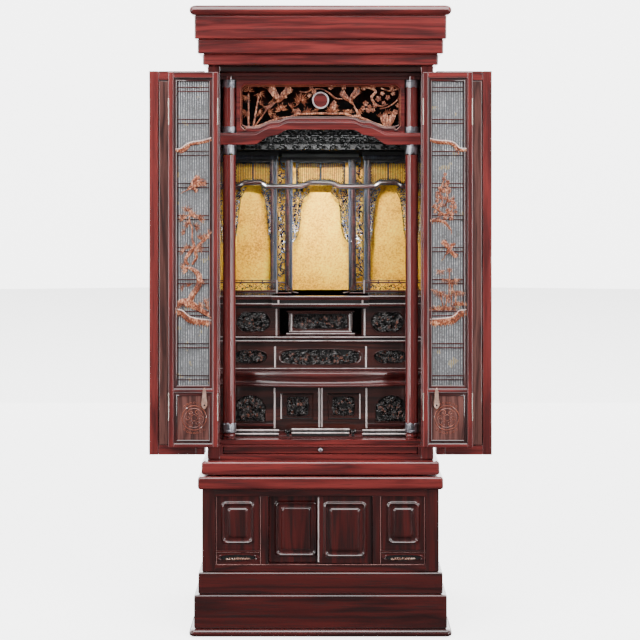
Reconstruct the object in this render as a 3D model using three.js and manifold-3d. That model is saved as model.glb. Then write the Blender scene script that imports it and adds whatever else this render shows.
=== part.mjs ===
// Household altar cabinet of polished rosewood, doors folded open.
// Millimetres, +Z up, +Y to the back, origin under the middle of the whole outline.
import * as THREE from "three";
import { mergeVertices } from "three/addons/utils/BufferGeometryUtils.js";
import Module from "manifold-3d";

const wasm = await Module();
wasm.setup();

// Depth stations: the front of the jambs and the back of the whole cabinet
const jambFront = -205;
const cabinetBack = 275;
const fitGap = 0.3;

// Plinth
const rollHeight = 18;
const plinthLowHeight = 86;
const plinthHighHeight = 55.5;
const plinthWall = 24;
const rollOut = 31.6;
const plinthLowOut = 19.4;
const plinthHighOut = 9.3;

// Lower cabinet
const lowerHalfWidth = 301.4;
const lowerFrontOut = 38;
const lowerCaseHeight = 209.5;
const lowerWall = 18;
const lowerStile = 34;
const lowerTopHeight = 33;
const lowerTopOut = 10.5;
const liftGap = 3;
const slideHalf = 132.5;
const slideOverlap = 14;
const slideThick = 12;
const slideClear = 2;
const mullionWidth = 22;
const railHeight = 18;
const ventHeight = 31;
const panelThick = 10;
const frameThick = 36;

// Altar case
const baseBoardHeight = 34.6;
const baseBoardOut = 13;
const upperHalfWidth = 290;
const jambWidth = 31.5;
const jambInner = upperHalfWidth - jambWidth;
const caseHeight = 1010;
const caseBackWall = 20;
const caseCeiling = 14;
const trayRail = 12.4;
const trayHeight = 19.5;
const trayClear = 1;
const trayInset = 8.5;
const trayHalfWidth = jambInner - trayInset;
const trayDepth = 320;
const traySetBack = 12;
const knobRadius = 6;
const knobLength = 9;
const floorThick = 13;
const thresholdSetBack = 26;

// Cornice bands, above the case
const corniceWall = 20;
const corniceFrontOut = 38;
const corniceHalfWidth = 300;
const corniceBands = [
    { height: 28, out: 0, radius: 5 },
    { height: 37, out: 12.3, radius: 5 },
    { height: 60, out: 19.8, radius: 5 },
    { height: 25, out: 32.3, radius: 11 },
];

// Posts and transom
const postRadius = 16.5;
const postInset = 22;
const postX = jambInner - postInset;
const postSetBack = 45;
const capHeight = 26;
const capOut = 1.5;
const shortPostHeight = 122;
const archHalf = 84;
const archRise = 31;
const archRiseUnder = 39;
const archFoot = 172;
const archShoulder = 111;
const archStep = 20;
const archHeight = 30;
const archSetBack = 27;
const archThick = 36;
const transomThick = 18;
const transomHalf = 206;
const transomSill = 8;
const transomHead = 34;
const transomNotch = 11;
const moonDrop = 38;
const carvingThick = 11;

// Shrine screen and gold board at the back
const screenSetBack = 405;
const screenThick = 14;
const goldSetBack = 438;
const goldThick = 10;
const columnInnerHalf = 77;
const columnOuterHalf = 121.4;
const columnWidth = 17;
const beamHeight = 10;
const latticeHeight = 59;
const latticeGap = 13;
const waveHeight = 12;
const waveRise = 11;
const bayHeight = 298;
const slatWidth = 5;
const slatPitch = 19.2;

// Steps of the altar, from the floor up, with their front faces behind the jambs
const lowerStepHeight = 126;
const lowerStepSetBack = 140;
const shelfHeight = 39;
const shelfSetBack = 148;
const shelfBow = 48;
const middleStepHeight = 74;
const middleStepSetBack = 160;
const ledgeHeight = 16;
const ledgeOut = 10;
const upperStepHeight = 74;
const upperStepSetBack = 190;
const platformHeight = 32.5;
const platformSetBack = 170;
const platformBreak = 12;
const stepBoard = 20;
const recessHalf = 110;
const recessDepth = 110;
const pedestalHalf = 74;
const pedestalDepth = 70;
const pedestalHeight = 66;
const pedestalStep = 18;
const pedestalFieldHeight = 34;
const railingHeight = 38;
const railingSetBack = 262;
const floorRailSetBack = 84;
const floorRailHeight = 16;
const floorRailLift = 5;
const sideRailOuter = 229;
const sideRailInner = 108;
const middleRailHalf = 76;
const railKnobLength = 20;
const railKnobRadius = 5;

// Canopy under the ceiling
const canopyDrop = 194.6;
const canopyHeight = 78;
const canopyDepth = 130;
const bracketCount = 7;
const bracketInset = 30;
const bracketHalfWidth = 13;
const bracketOut = 9;

// Outer doors
const outerBottom = 11.4;
const outerTopClear = 12.7;
const outerThick = 24;
const outerPivotOut = 3;
const outerPivotFront = 2;
const outerEdge = 4;
const outerFrameWidth = 21;
const outerBottomRail = 24;

// Inner doors
const innerBottom = 36.4;
const innerTopClear = 17.7;
const innerThick = 18;
const innerSetBack = 6;
const innerEdge = 2;
const innerFrameWidth = 20;
const innerRailHeight = 24;
const innerMidRail = 18;
const innerLowPanel = 122;
const innerBottomRail = 17;
const foldGap = 1;
const meetGap = 1.5;
const latticeBars = 10;
const barHeight = 9;
const barMargin = 8;
const barSink = 5;
const barThick = 3;
const lowPanelSink = 5;
const gauzeThick = 2;
const slatProud = 1.6;
const gauzeSlats = 13;
const carvedThick = 4;
const pullWidth = 17;
const pullHeight = 54;
const pullThick = 2;
const barrelRadius = 2.4;
const barrelLength = 58;
const barrelSides = 6;
const pullInset = 34.5;
const pullDrop = 32;
const doorsOpen = Math.PI;

// Heights worked out from the pieces below each station
const plinthTop = rollHeight + plinthLowHeight + plinthHighHeight;
const lowerCaseTop = plinthTop + lowerCaseHeight;
const lowerTop = lowerCaseTop + lowerTopHeight;
const baseBoardBottom = lowerTop + liftGap;
const caseBottom = baseBoardBottom + baseBoardHeight;
const caseTop = caseBottom + caseHeight;
const traySlotBottom = caseBottom + trayRail;
const traySlotTop = traySlotBottom + trayHeight + 2 * trayClear;
const altarFloor = traySlotTop + floorThick;
const ceilingBottom = caseTop - caseCeiling;
const lowerFront = jambFront - lowerFrontOut;
const at = (setBack) => jambFront + setBack;

const wood = new THREE.MeshStandardMaterial({ color: 0x6a2a26, roughness: 0.22, metalness: 0 });
const darkWood = new THREE.MeshStandardMaterial({ color: 0x2c1614, roughness: 0.25, metalness: 0 });
const carvedWood = new THREE.MeshStandardMaterial({ color: 0xb27458, roughness: 0.45, metalness: 0 });
const goldLeaf = new THREE.MeshStandardMaterial({ color: 0xd9b56a, roughness: 0.4, metalness: 0.6 });
const gauze = new THREE.MeshStandardMaterial({ color: 0x8d9092, roughness: 0.8, metalness: 0 });
const capMetal = new THREE.MeshStandardMaterial({ color: 0x86868c, roughness: 0.35, metalness: 1 });
const pullMetal = new THREE.MeshStandardMaterial({ color: 0xd8b4a2, roughness: 0.35, metalness: 1 });

const altar = new THREE.Group();

// A closed three.js geometry as a solid that can be joined and cut
function solidOf(geometry) {
    const bare = geometry.index ? geometry.toNonIndexed() : geometry.clone();
    bare.deleteAttribute("normal");
    bare.deleteAttribute("uv");
    const merged = mergeVertices(bare, 1e-4);
    const vertProperties = new Float32Array(merged.attributes.position.array);
    const triVerts = new Uint32Array(merged.index.array);
    return new wasm.Manifold(new wasm.Mesh({ numProp: 3, vertProperties, triVerts }));
}

function geometryOf(solid) {
    const mesh = solid.getMesh();
    const geometry = new THREE.BufferGeometry();
    geometry.setAttribute("position", new THREE.BufferAttribute(new Float32Array(mesh.vertProperties), 3));
    geometry.setIndex(new THREE.BufferAttribute(new Uint32Array(mesh.triVerts), 1));
    return geometry;
}

// The same solid on the other side of the middle plane, its faces still pointing out
function mirrored(solid) {
    const mesh = solid.getMesh();
    const vertProperties = new Float32Array(mesh.vertProperties);
    for (let i = 0; i < vertProperties.length; i += 3) vertProperties[i] = -vertProperties[i];
    const triVerts = new Uint32Array(mesh.triVerts);
    for (let i = 0; i < triVerts.length; i += 3) {
        const second = triVerts[i + 1];
        triVerts[i + 1] = triVerts[i + 2];
        triVerts[i + 2] = second;
    }
    return new wasm.Manifold(new wasm.Mesh({ numProp: 3, vertProperties, triVerts }));
}

function join(parts) {
    return parts.reduce((whole, part) => whole.add(part));
}

function cut(whole, tools) {
    return tools.reduce((rest, tool) => rest.subtract(tool), whole);
}

// A box from its two x, two y and two z planes
function block(x0, x1, y0, y1, z0, z1) {
    const geometry = new THREE.BoxGeometry(x1 - x0, y1 - y0, z1 - z0);
    geometry.translate((x0 + x1) / 2, (y0 + y1) / 2, (z0 + z1) / 2);
    return solidOf(geometry);
}

// An outline in x and z, carried back from the plane y = front
function relief(shape, front, thickness, curveSegments = 3, bevel = 0) {
    const geometry = new THREE.ExtrudeGeometry(shape, {
        depth: thickness - bevel,
        curveSegments,
        bevelEnabled: bevel > 0,
        bevelSize: bevel,
        bevelOffset: -bevel,
        bevelThickness: bevel,
        bevelSegments: 1,
    });
    geometry.rotateX(Math.PI / 2);
    geometry.translate(0, front + thickness, 0);
    if (bevel === 0) return solidOf(geometry);
    return cut(solidOf(geometry), [block(-2000, 2000, front + thickness, front + 200, -10, 3000)]);
}

// Rectangles stacked up in z, each grown by its own amount at the front and both sides
function stacked(rings, halfWidth, front, back) {
    const positions = [];
    for (const [z, out] of rings) {
        const side = halfWidth + out;
        positions.push(-side, front - out, z, side, front - out, z, side, back, z, -side, back, z);
    }
    const index = [0, 2, 1, 0, 3, 2];
    for (let ring = 0; ring + 1 < rings.length; ring += 1) {
        for (let corner = 0; corner < 4; corner += 1) {
            const a = ring * 4 + corner;
            const b = ring * 4 + ((corner + 1) % 4);
            index.push(a, b, b + 4, a, b + 4, a + 4);
        }
    }
    const last = (rings.length - 1) * 4;
    index.push(last, last + 1, last + 2, last, last + 2, last + 3);
    const geometry = new THREE.BufferGeometry();
    geometry.setAttribute("position", new THREE.BufferAttribute(new Float32Array(positions), 3));
    geometry.setIndex(index);
    return solidOf(geometry);
}

// One band of a moulding from z0 up, its lower and upper edges rounded
function band(z0, height, out, radius) {
    const z1 = z0 + height;
    const arc = [];
    for (const turn of [0, 0.5, 1]) {
        const angle = turn * Math.PI / 2;
        arc.push([radius * (1 - Math.sin(angle)), radius * (1 - Math.cos(angle))]);
    }
    const low = arc.map(([across, up]) => [z0 + up, out - across]);
    const high = arc.map(([across, up]) => [z1 - up, out - across]).reverse();
    return [...low, ...high];
}

function roundedRect(width, height, radius, x = 0, z = 0) {
    const shape = new THREE.Shape();
    const w = width / 2;
    const h = height / 2;
    const r = Math.min(radius, w, h);
    shape.moveTo(x - w + r, z - h);
    shape.lineTo(x + w - r, z - h);
    shape.absarc(x + w - r, z - h + r, r, -Math.PI / 2, 0);
    shape.lineTo(x + w, z + h - r);
    shape.absarc(x + w - r, z + h - r, r, 0, Math.PI / 2);
    shape.lineTo(x - w + r, z + h);
    shape.absarc(x - w + r, z + h - r, r, Math.PI / 2, Math.PI);
    shape.lineTo(x - w, z - h + r);
    shape.absarc(x - w + r, z - h + r, r, Math.PI, 1.5 * Math.PI);
    return shape;
}

function rectangle(x0, x1, z0, z1) {
    return new THREE.Shape([[x0, z0], [x1, z0], [x1, z1], [x0, z1]].map(([x, z]) => new THREE.Vector2(x, z)));
}

function ringOf(outer, inner) {
    const shape = outer.clone();
    shape.holes.push(inner);
    return shape;
}

// An ellipse whose edge swells into lobes, as a carved cartouche has
function lobed(width, height, lobes, x, z, swell = 0.07, steps = 14) {
    const points = [];
    const square = 0.82;
    for (let step = 0; step < steps; step += 1) {
        const angle = ((step + 0.5) / steps) * 2 * Math.PI;
        const reach = 1 + swell * Math.cos(lobes * angle);
        const c = Math.sign(Math.cos(angle)) * Math.abs(Math.cos(angle)) ** square;
        const s = Math.sign(Math.sin(angle)) * Math.abs(Math.sin(angle)) ** square;
        points.push(new THREE.Vector2(x + c * reach * width / 2, z + s * reach * height / 2));
    }
    return new THREE.Shape(points);
}

// A leaf: a low four-sided point, long one way, its foot in the plane y = base
function leaf(x, z, base, length, width, height, angle) {
    const geometry = new THREE.ConeGeometry(0.5, 1, 4);
    geometry.translate(0, 0.5, 0);
    geometry.scale(length, -height, width);
    const turnedRound = flipped(geometry);
    turnedRound.rotateY(-angle);
    turnedRound.translate(x, base, z);
    return solidOf(turnedRound);
}

// Turns the faces of a mirrored geometry round again
function flipped(geometry) {
    const bare = geometry.index ? geometry.toNonIndexed() : geometry.clone();
    const position = bare.attributes.position;
    for (let i = 0; i < position.count; i += 3) {
        const b = new THREE.Vector3().fromBufferAttribute(position, i + 1);
        const c = new THREE.Vector3().fromBufferAttribute(position, i + 2);
        position.setXYZ(i + 1, c.x, c.y, c.z);
        position.setXYZ(i + 2, b.x, b.y, b.z);
    }
    return bare;
}

// Carved relief over an oval: rings of knobs that rise and fall round a high middle
function knobbed(x, z, width, height, base, rise, sectors = 10, rings = 2, waves = 5) {
    const positions = [x, base - rise, z];
    for (let ring = 1; ring <= rings; ring += 1) {
        const reach = ring / rings;
        for (let sector = 0; sector < sectors; sector += 1) {
            const angle = ((sector + ring * 0.5) / sectors) * 2 * Math.PI;
            const wave = 0.6 + 0.4 * Math.cos(waves * angle + ring * 2.1);
            const lift = ring === rings ? 0 : rise * wave;
            positions.push(x + Math.cos(angle) * reach * width / 2, base - lift,
                z + Math.sin(angle) * reach * height / 2);
        }
    }
    const last = 1 + (rings - 1) * sectors;
    for (let sector = 0; sector < sectors; sector += 1) {
        const edge = (last + sector) * 3;
        positions.push(positions[edge], base + 2, positions[edge + 2]);
    }
    const index = [];
    const quad = (a, b, c, d) => index.push(a, b, c, a, c, d);
    for (let sector = 0; sector < sectors; sector += 1) {
        const next = (sector + 1) % sectors;
        index.push(0, 1 + sector, 1 + next);
        for (let ring = 0; ring < rings; ring += 1) {
            const low = 1 + ring * sectors;
            quad(low + sector, low + sectors + sector, low + sectors + next, low + next);
        }
    }
    const foot = last + sectors;
    for (let sector = 1; sector + 1 < sectors; sector += 1) index.push(foot, foot + sector + 1, foot + sector);
    const geometry = new THREE.BufferGeometry();
    geometry.setAttribute("position", new THREE.BufferAttribute(new Float32Array(positions), 3));
    geometry.setIndex(index);
    return solidOf(geometry);
}

// A carved stroke along a smooth line, as wide as told at each of its points
function stroke(points, widths, front, thickness, steps = 6) {
    const curve = new THREE.CatmullRomCurve3(points.map(([x, z]) => new THREE.Vector3(x, z, 0)));
    const left = [];
    const right = [];
    for (let step = 0; step <= steps; step += 1) {
        const t = step / steps;
        const place = curve.getPoint(t);
        const along = curve.getTangent(t);
        const slot = t * (widths.length - 1);
        const low = Math.floor(Math.min(slot, widths.length - 2));
        const half = (widths[low] + (widths[low + 1] - widths[low]) * (slot - low)) / 2;
        left.push(new THREE.Vector2(place.x - along.y * half, place.y + along.x * half));
        right.unshift(new THREE.Vector2(place.x + along.y * half, place.y - along.x * half));
    }
    return relief(new THREE.Shape([...left, ...right]), front, thickness);
}

// A round turned solid standing on (x, y, z), from pairs of radius and height
function turned(profile, x, y, z, sides = 10) {
    const points = profile.map(([radius, height]) => new THREE.Vector2(radius, height));
    const geometry = new THREE.LatheGeometry(points, sides);
    geometry.rotateX(Math.PI / 2);
    geometry.translate(x, y, z);
    return solidOf(geometry);
}

function piece(name, solid, material, parent = altar) {
    const mesh = new THREE.Mesh(geometryOf(solid), material);
    mesh.name = name;
    parent.add(mesh);
    return mesh;
}

// A left piece and its mirror image
function pair(name, solid, material) {
    piece(`${name}_left`, solid, material);
    piece(`${name}_right`, mirrored(solid), material);
}

// Plinth: a roll at the floor and two bands, hollow underneath
function makePlinth() {
    const half = lowerHalfWidth;
    const bands = [
        ...band(0, rollHeight, rollOut, rollHeight / 2.2),
        ...band(rollHeight, plinthLowHeight, plinthLowOut, 6),
        ...band(rollHeight + plinthLowHeight, plinthHighHeight, plinthHighOut, 6),
    ];
    const outer = stacked(bands, half, lowerFront, cabinetBack);
    const inner = half - plinthWall;
    const hollow = block(-inner, inner, lowerFront + plinthWall, cabinetBack - plinthWall, -1,
        plinthTop - plinthWall);
    piece("base_plinth", cut(outer, [hollow]), wood);
}

const lowerInner = lowerHalfWidth - lowerStile;
const panelOuter = lowerInner;
const panelInner = slideHalf + mullionWidth;
const lowerBottom = plinthTop + fitGap;
const lowerRailTop = lowerBottom + railHeight;
const ventTop = lowerRailTop + ventHeight;
const lowerOpenTop = lowerCaseTop - railHeight;
const panelBottom = ventTop + 4;

// Lower case: a hollow box behind a frame that holds the panels, vents and sliding doors
function makeLowerCase() {
    const half = lowerHalfWidth;
    const outer = block(-half, half, lowerFront, cabinetBack, lowerBottom, lowerCaseTop);
    const inside = block(-half + lowerWall, half - lowerWall, lowerFront + frameThick,
        cabinetBack - lowerWall, lowerBottom + lowerWall, lowerCaseTop - lowerWall);
    const through = [];
    through.push(block(-slideHalf, slideHalf, lowerFront - 1, lowerFront + frameThick + 1,
        lowerRailTop, lowerOpenTop));
    for (const side of [-1, 1]) {
        const [x0, x1] = [side * panelInner, side * panelOuter].sort((a, b) => a - b);
        through.push(block(x0, x1, lowerFront - 1, lowerFront + frameThick + 1, panelBottom, lowerOpenTop));
        through.push(block(x0, x1, lowerFront - 1, lowerFront + frameThick + 1, lowerRailTop, ventTop));
    }
    piece("lower_case", cut(outer, [inside, ...through]), wood);
}

// A board with a raised ring and a raised field inside it, on its front face
function fieldBoard(x0, x1, z0, z1, front, thickness, margin, sink) {
    const width = x1 - x0;
    const height = z1 - z0;
    const x = (x0 + x1) / 2;
    const z = (z0 + z1) / 2;
    const ringWidth = 9;
    const fieldMargin = margin + 2 * ringWidth + 4;
    const body = block(x0, x1, front + sink, front + thickness, z0, z1);
    const outer = roundedRect(width - 2 * margin, height - 2 * margin, 8, x, z);
    const inner = roundedRect(width - 2 * margin - 2 * ringWidth, height - 2 * margin - 2 * ringWidth, 6, x, z);
    const ring = relief(ringOf(outer, inner), front, sink + 1, 1, 1.4);
    const field = roundedRect(width - 2 * fieldMargin, height - 2 * fieldMargin, 5, x, z);
    return join([body, ring, relief(field, front + 0.5, sink + 1, 1, 1.4)]);
}

function makeLowerPanels() {
    const clear = fitGap;
    const panel = fieldBoard(-panelOuter + clear, -panelInner - clear, panelBottom + clear,
        lowerOpenTop - clear, lowerFront + 3, panelThick, 13, 4);
    pair("lower_panel", panel, wood);
    const ventWidth = panelOuter - panelInner - 2 * clear;
    const ventX = -(panelOuter + panelInner) / 2;
    const ventZ = (lowerRailTop + ventTop) / 2;
    const front = lowerFront + 5;
    const board = relief(ringOf(roundedRect(ventWidth, ventHeight - 2 * clear, 0, ventX, ventZ),
        lobed(ventWidth * 0.8, ventHeight * 0.56, 4, ventX, ventZ, 0.05, 12)), front, panelThick - 2, 1);
    const stem = relief(lobed(ventWidth * 0.86, 4.5, 0, ventX, ventZ, 0, 6), front + 2, 4);
    const leaves = [-0.26, -0.09, 0.09, 0.26].map((share, i) =>
        leaf(ventX + share * ventWidth, ventZ + (i % 2 ? 2 : -2), front + 5.5, 20, 9, 5, i % 2 ? 0.5 : -0.5));
    pair("lower_vent", join([board, stem, ...leaves]), carvedWood);
}

// Sliding doors: the left one in the rear track, the right one in the front track
function makeSlidingDoors() {
    const frontTrack = lowerFront + 5;
    const rearTrack = frontTrack + slideThick + slideClear;
    const z0 = lowerRailTop + 1;
    const z1 = lowerOpenTop - 1;
    const reach = slideOverlap / 2;
    const left = fieldBoard(-slideHalf + 1, reach, z0, z1, rearTrack, slideThick, 16, 4);
    const right = fieldBoard(-reach, slideHalf - 1, z0, z1, frontTrack, slideThick, 16, 4);
    piece("sliding_door_left", left, wood);
    piece("sliding_door_right", right, wood);
}

function makeBoards() {
    const half = lowerHalfWidth;
    const top = band(lowerCaseTop + fitGap, lowerTopHeight - fitGap, lowerTopOut, 8);
    piece("lower_top_board", stacked(top, half, lowerFront, cabinetBack), wood);
    const base = band(baseBoardBottom, baseBoardHeight, baseBoardOut, 8);
    const feet = block(-upperHalfWidth + 30, upperHalfWidth - 30, jambFront, cabinetBack - 30,
        lowerTop + fitGap, baseBoardBottom + 1);
    piece("upper_base_board", join([stacked(base, upperHalfWidth, jambFront - 27, cabinetBack), feet]), wood);
}

// Altar case: sides with jambs, back, ceiling, floor and the slot of the tray under it
function makeAltarCase() {
    const half = upperHalfWidth;
    const bottom = caseBottom + fitGap;
    const outer = block(-half, half, jambFront, cabinetBack, bottom, caseTop);
    const back = cabinetBack - caseBackWall;
    const inside = block(-jambInner, jambInner, jambFront - 1, back, altarFloor, ceilingBottom);
    const slot = block(-trayHalfWidth - trayClear, trayHalfWidth + trayClear, jambFront - 1,
        at(traySetBack + trayDepth + 4), traySlotBottom, traySlotTop);
    const rebate = block(-jambInner, jambInner, jambFront - 1, at(thresholdSetBack),
        traySlotTop - 2, altarFloor + 1);
    piece("altar_case", cut(outer, [inside, slot, rebate]), wood);
    const trayZ = traySlotBottom + trayClear;
    const tray = block(-trayHalfWidth, trayHalfWidth, at(traySetBack), at(traySetBack + trayDepth),
        trayZ, trayZ + trayHeight);
    const dish = block(-trayHalfWidth + 14, trayHalfWidth - 14, at(traySetBack + 20),
        at(traySetBack + trayDepth - 14), trayZ + trayHeight - 3, trayZ + trayHeight + 1);
    piece("pull_out_tray", cut(tray, [dish]), wood);
    const knob = turned([[0, 0], [3, 0], [2.6, knobLength * 0.45], [knobRadius, knobLength * 0.7],
        [knobRadius * 0.75, knobLength], [0, knobLength]], 0, 0, 0);
    const mesh = piece("tray_knob", knob, capMetal);
    mesh.rotation.x = Math.PI / 2;
    mesh.position.set(0, at(traySetBack) - fitGap, trayZ + trayHeight / 2);
}

// Cornice: four bands, hollow underneath
function makeCornice() {
    let z = caseTop + fitGap;
    const rings = [];
    for (const { height, out, radius } of corniceBands) {
        rings.push(...band(z, height, out, radius));
        z += height;
    }
    const front = jambFront - corniceFrontOut;
    const outer = stacked(rings, corniceHalfWidth, front, cabinetBack);
    const inner = corniceHalfWidth - corniceWall;
    const hollow = block(-inner, inner, front + corniceWall, cabinetBack - corniceWall, caseTop - 1,
        z - corniceWall);
    piece("cornice", cut(outer, [hollow]), wood);
}

// A line along the arched rail: level, an S up to a cusp, a second curve up, level again
function archLine(lift, rise = archRise) {
    const share = rise / archRise;
    const left = [
        [-jambInner + fitGap, 0],
        [-archFoot, 0],
        [-archFoot + 14, archStep * 0.26],
        [-archFoot + 30, archStep * 0.68],
        [-archShoulder - 14, archStep * 0.94],
        [-archShoulder, archStep],
        [-archShoulder + 8, archStep + 4],
        [-archHalf - 8, archRise - 2.5],
        [-archHalf + 4, archRise],
    ];
    const right = left.map(([x, z]) => [-x, z]).reverse();
    return [...left, ...right].map(([x, z]) => new THREE.Vector2(x, z * share + lift));
}

const archBottom = ceilingBottom - shortPostHeight - capHeight / 2 - archHeight - 22;
const archSideTop = archBottom + archHeight;
const transomBottom = archSideTop + fitGap;

function makeTransom() {
    const bottom = archLine(archBottom, archRiseUnder);
    const top = archLine(archSideTop).reverse();
    piece("arched_rail", relief(new THREE.Shape([...bottom, ...top]), at(archSetBack), archThick), wood);

    const z1 = ceilingBottom - fitGap;
    const side = postX - postRadius - capOut - 1;
    const outline = [...archLine(transomBottom)].filter(({ x }) => Math.abs(x) < side);
    outline.unshift(new THREE.Vector2(-side, transomBottom));
    outline.push(new THREE.Vector2(side, transomBottom), new THREE.Vector2(side, z1),
        new THREE.Vector2(-side, z1));
    const frame = new THREE.Shape(outline);
    frame.holes.push(new THREE.Path(transomOpening(0)));
    piece("transom_frame", relief(frame, at(postSetBack - transomThick / 2), transomThick), wood);
}

// The opening of the transom follows the arch below and has notched upper corners
function transomOpening(shrink) {
    const half = transomHalf - shrink;
    const z0 = transomBottom + transomSill + shrink;
    const z1 = ceilingBottom - transomHead - shrink;
    const notch = transomNotch;
    const left = [
        [-half, z0 + notch],
        [-half + notch, z0],
        [-archFoot - 8, z0 + 1],
        [-archFoot + 8, z0 + 10],
        [-archFoot + 28, z0 + archStep + 1],
        [-archShoulder, z0 + archStep + 6],
        [-archHalf - 6, z0 + archRise + 1],
    ];
    const right = left.map(([x, z]) => [-x, z]).reverse();
    const top = [[half, z1 - notch], [half - notch, z1], [-half + notch, z1], [-half, z1 - notch]];
    return [...left, ...right, ...top].map(([x, z]) => new THREE.Vector2(x, z));
}

// Pierced carving of the transom: a moon disc, a flying bird on each side, stems, blossoms and leaves
function makeTransomCarving() {
    const front = at(postSetBack - carvingThick / 2);
    const edge = new THREE.Shape(transomOpening(fitGap));
    edge.holes.push(new THREE.Path(transomOpening(5)));
    const middle = ceilingBottom - transomHead - moonDrop;
    const parts = [relief(edge, front + 2, carvingThick - 2)];
    parts.push(relief(lobed(42, 42, 0, 0, middle, 0, 12), front, carvingThick - 2));
    const span = transomHalf - 4;
    parts.push(stroke([[-span, middle - 34], [-130, middle - 8], [-60, middle + 14], [0, middle - 2],
        [60, middle + 12], [130, middle - 12], [span, middle - 36]], [7, 5, 5, 6, 5, 5, 7], front + 3, 6, 10));
    parts.push(stroke([[-span, middle + 20], [-140, middle + 28], [-70, middle - 12], [0, middle - 24],
        [70, middle - 10], [140, middle + 28], [span, middle + 18]], [5, 5, 4, 6, 4, 5, 5], front + 4, 5, 10));
    for (const side of [-1, 1]) {
        for (const [x, z, size] of [[176, 18, 34], [150, -18, 34], [36, 14, 28], [46, -16, 30]]) {
            parts.push(knobbed(side * x, middle + z, size, size, front + 5, 5, 8, 1));
        }
        for (const [x, z, angle] of [[78, 18, 0.9], [112, -9, -0.9], [128, 24, 0.7], [188, 8, 1.2],
            [74, -18, -0.9]]) {
            parts.push(leaf(side * x, middle + z, front + 6, 32, 15, 6, side * angle));
        }
        parts.push(...flyingBird(side * 95, middle + 2, side, 62, front + 1));
    }
    const window = relief(new THREE.Shape(transomOpening(fitGap)), front - carvingThick, 2 * carvingThick, 1);
    piece("transom_carving", join(parts).intersect(window), carvedWood);
}

// A bird in flight: body, neck and tail in one stroke, two raised wings
function flyingBird(x, z, side, size, front) {
    const line = (pairs) => pairs.map(([px, pz]) => [x + side * px * size, z + pz * size]);
    return [
        stroke(line([[-0.6, -0.12], [-0.2, 0], [0.15, 0.02], [0.5, 0.2]]), [2, 12, 11, 3], front, 4, 4),
        stroke(line([[0, 0.02], [-0.1, 0.3], [-0.38, 0.46]]), [15, 13, 2], front + 0.5, 3.5, 3),
        stroke(line([[0.05, 0], [0.2, 0.28], [0.36, 0.36]]), [11, 9, 2], front + 0.5, 3.5, 3),
    ];
}

function makePosts() {
    const y = at(postSetBack);
    const z0 = altarFloor + fitGap;
    const footHeight = 16;
    const footTop = z0 + footHeight;
    const shaftTop = archBottom - fitGap;
    const foot = [[0, 0], [postRadius * 0.75, 0], [postRadius, 5], [postRadius * 0.8, 10],
        [postRadius * 0.9, footHeight], [0, footHeight]];
    const shaft = (height) => [[0, 0], [postRadius, 0], [postRadius, height], [0, height]];
    const capProfile = [[0, 0], [postRadius + capOut, 0], [postRadius + capOut, capHeight - 2],
        [postRadius, capHeight], [0, capHeight]];
    const lowCap = footTop + fitGap;
    const highCap = shaftTop - capHeight;
    pair("post_foot", turned(foot, -postX, y, z0), wood);
    pair("post_cap_low", turned(capProfile, -postX, y, lowCap), capMetal);
    pair("long_post", turned(shaft(highCap - lowCap - capHeight - 2 * fitGap), -postX, y,
        lowCap + capHeight + fitGap), wood);
    pair("post_cap_high", turned(capProfile, -postX, y, highCap), capMetal);
    const shortBottom = archSideTop + fitGap;
    pair("short_post", turned(shaft(ceilingBottom - fitGap - shortBottom), -postX, y, shortBottom), wood);
}

// The hollow steps: a front board with two cheeks that run back to the wall
function stepBox(z0, z1, front) {
    const half = jambInner - fitGap;
    const back = cabinetBack - caseBackWall - fitGap;
    const board = block(-half, half, front, front + stepBoard, z0, z1);
    const cheek = block(-half, -half + stepBoard, front, back, z0, z1);
    return join([board, cheek, mirrored(cheek)]);
}

// A sunk cartouche in a front board, filled with knobbed carving
function carveCartouche(board, x, z, width, height, front, lobes, sectors = 8, waves = 4) {
    const depth = 8;
    const opening = relief(lobed(width, height, lobes, x, z), front - 1, depth + 1);
    const carving = knobbed(x, z, width * 0.8, height * 0.8, front + depth, 7, sectors, 2, waves);
    return join([cut(board, [opening]), carving]);
}

function rod(x, front, z0, z1, width = 6, out = 3) {
    return block(x - width / 2, x + width / 2, front - out, front + 2, z0, z1);
}

const lowerStepTop = altarFloor + lowerStepHeight;
const shelfTop = lowerStepTop + shelfHeight;
const middleStepTop = shelfTop + middleStepHeight;
const ledgeTop = middleStepTop + ledgeHeight;
const upperStepTop = ledgeTop + upperStepHeight;
const platformTop = upperStepTop + platformHeight;

function makeLowerStep() {
    const front = at(lowerStepSetBack);
    const z0 = altarFloor + fitGap;
    const z1 = lowerStepTop - fitGap;
    let step = stepBox(z0, z1, front);
    const middle = z0 + 74;
    for (const side of [-1, 1]) {
        step = carveCartouche(step, side * 185, middle - 10, 84, 74, front, 6, 10, 5);
        const frame = ringOf(roundedRect(96, 78, 0, side * 61, middle), roundedRect(86, 68, 0, side * 61, middle));
        step = step.add(relief(frame, front - 3, 4, 1));
        step = carveCartouche(step, side * 61, middle, 60, 48, front, 4);
        step = step.add(rod(side * 122, front, z0, z1));
        step = step.add(rod(side * 4, front, z0, z1, 5));
    }
    piece("lower_step", step, darkWood);
}

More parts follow.
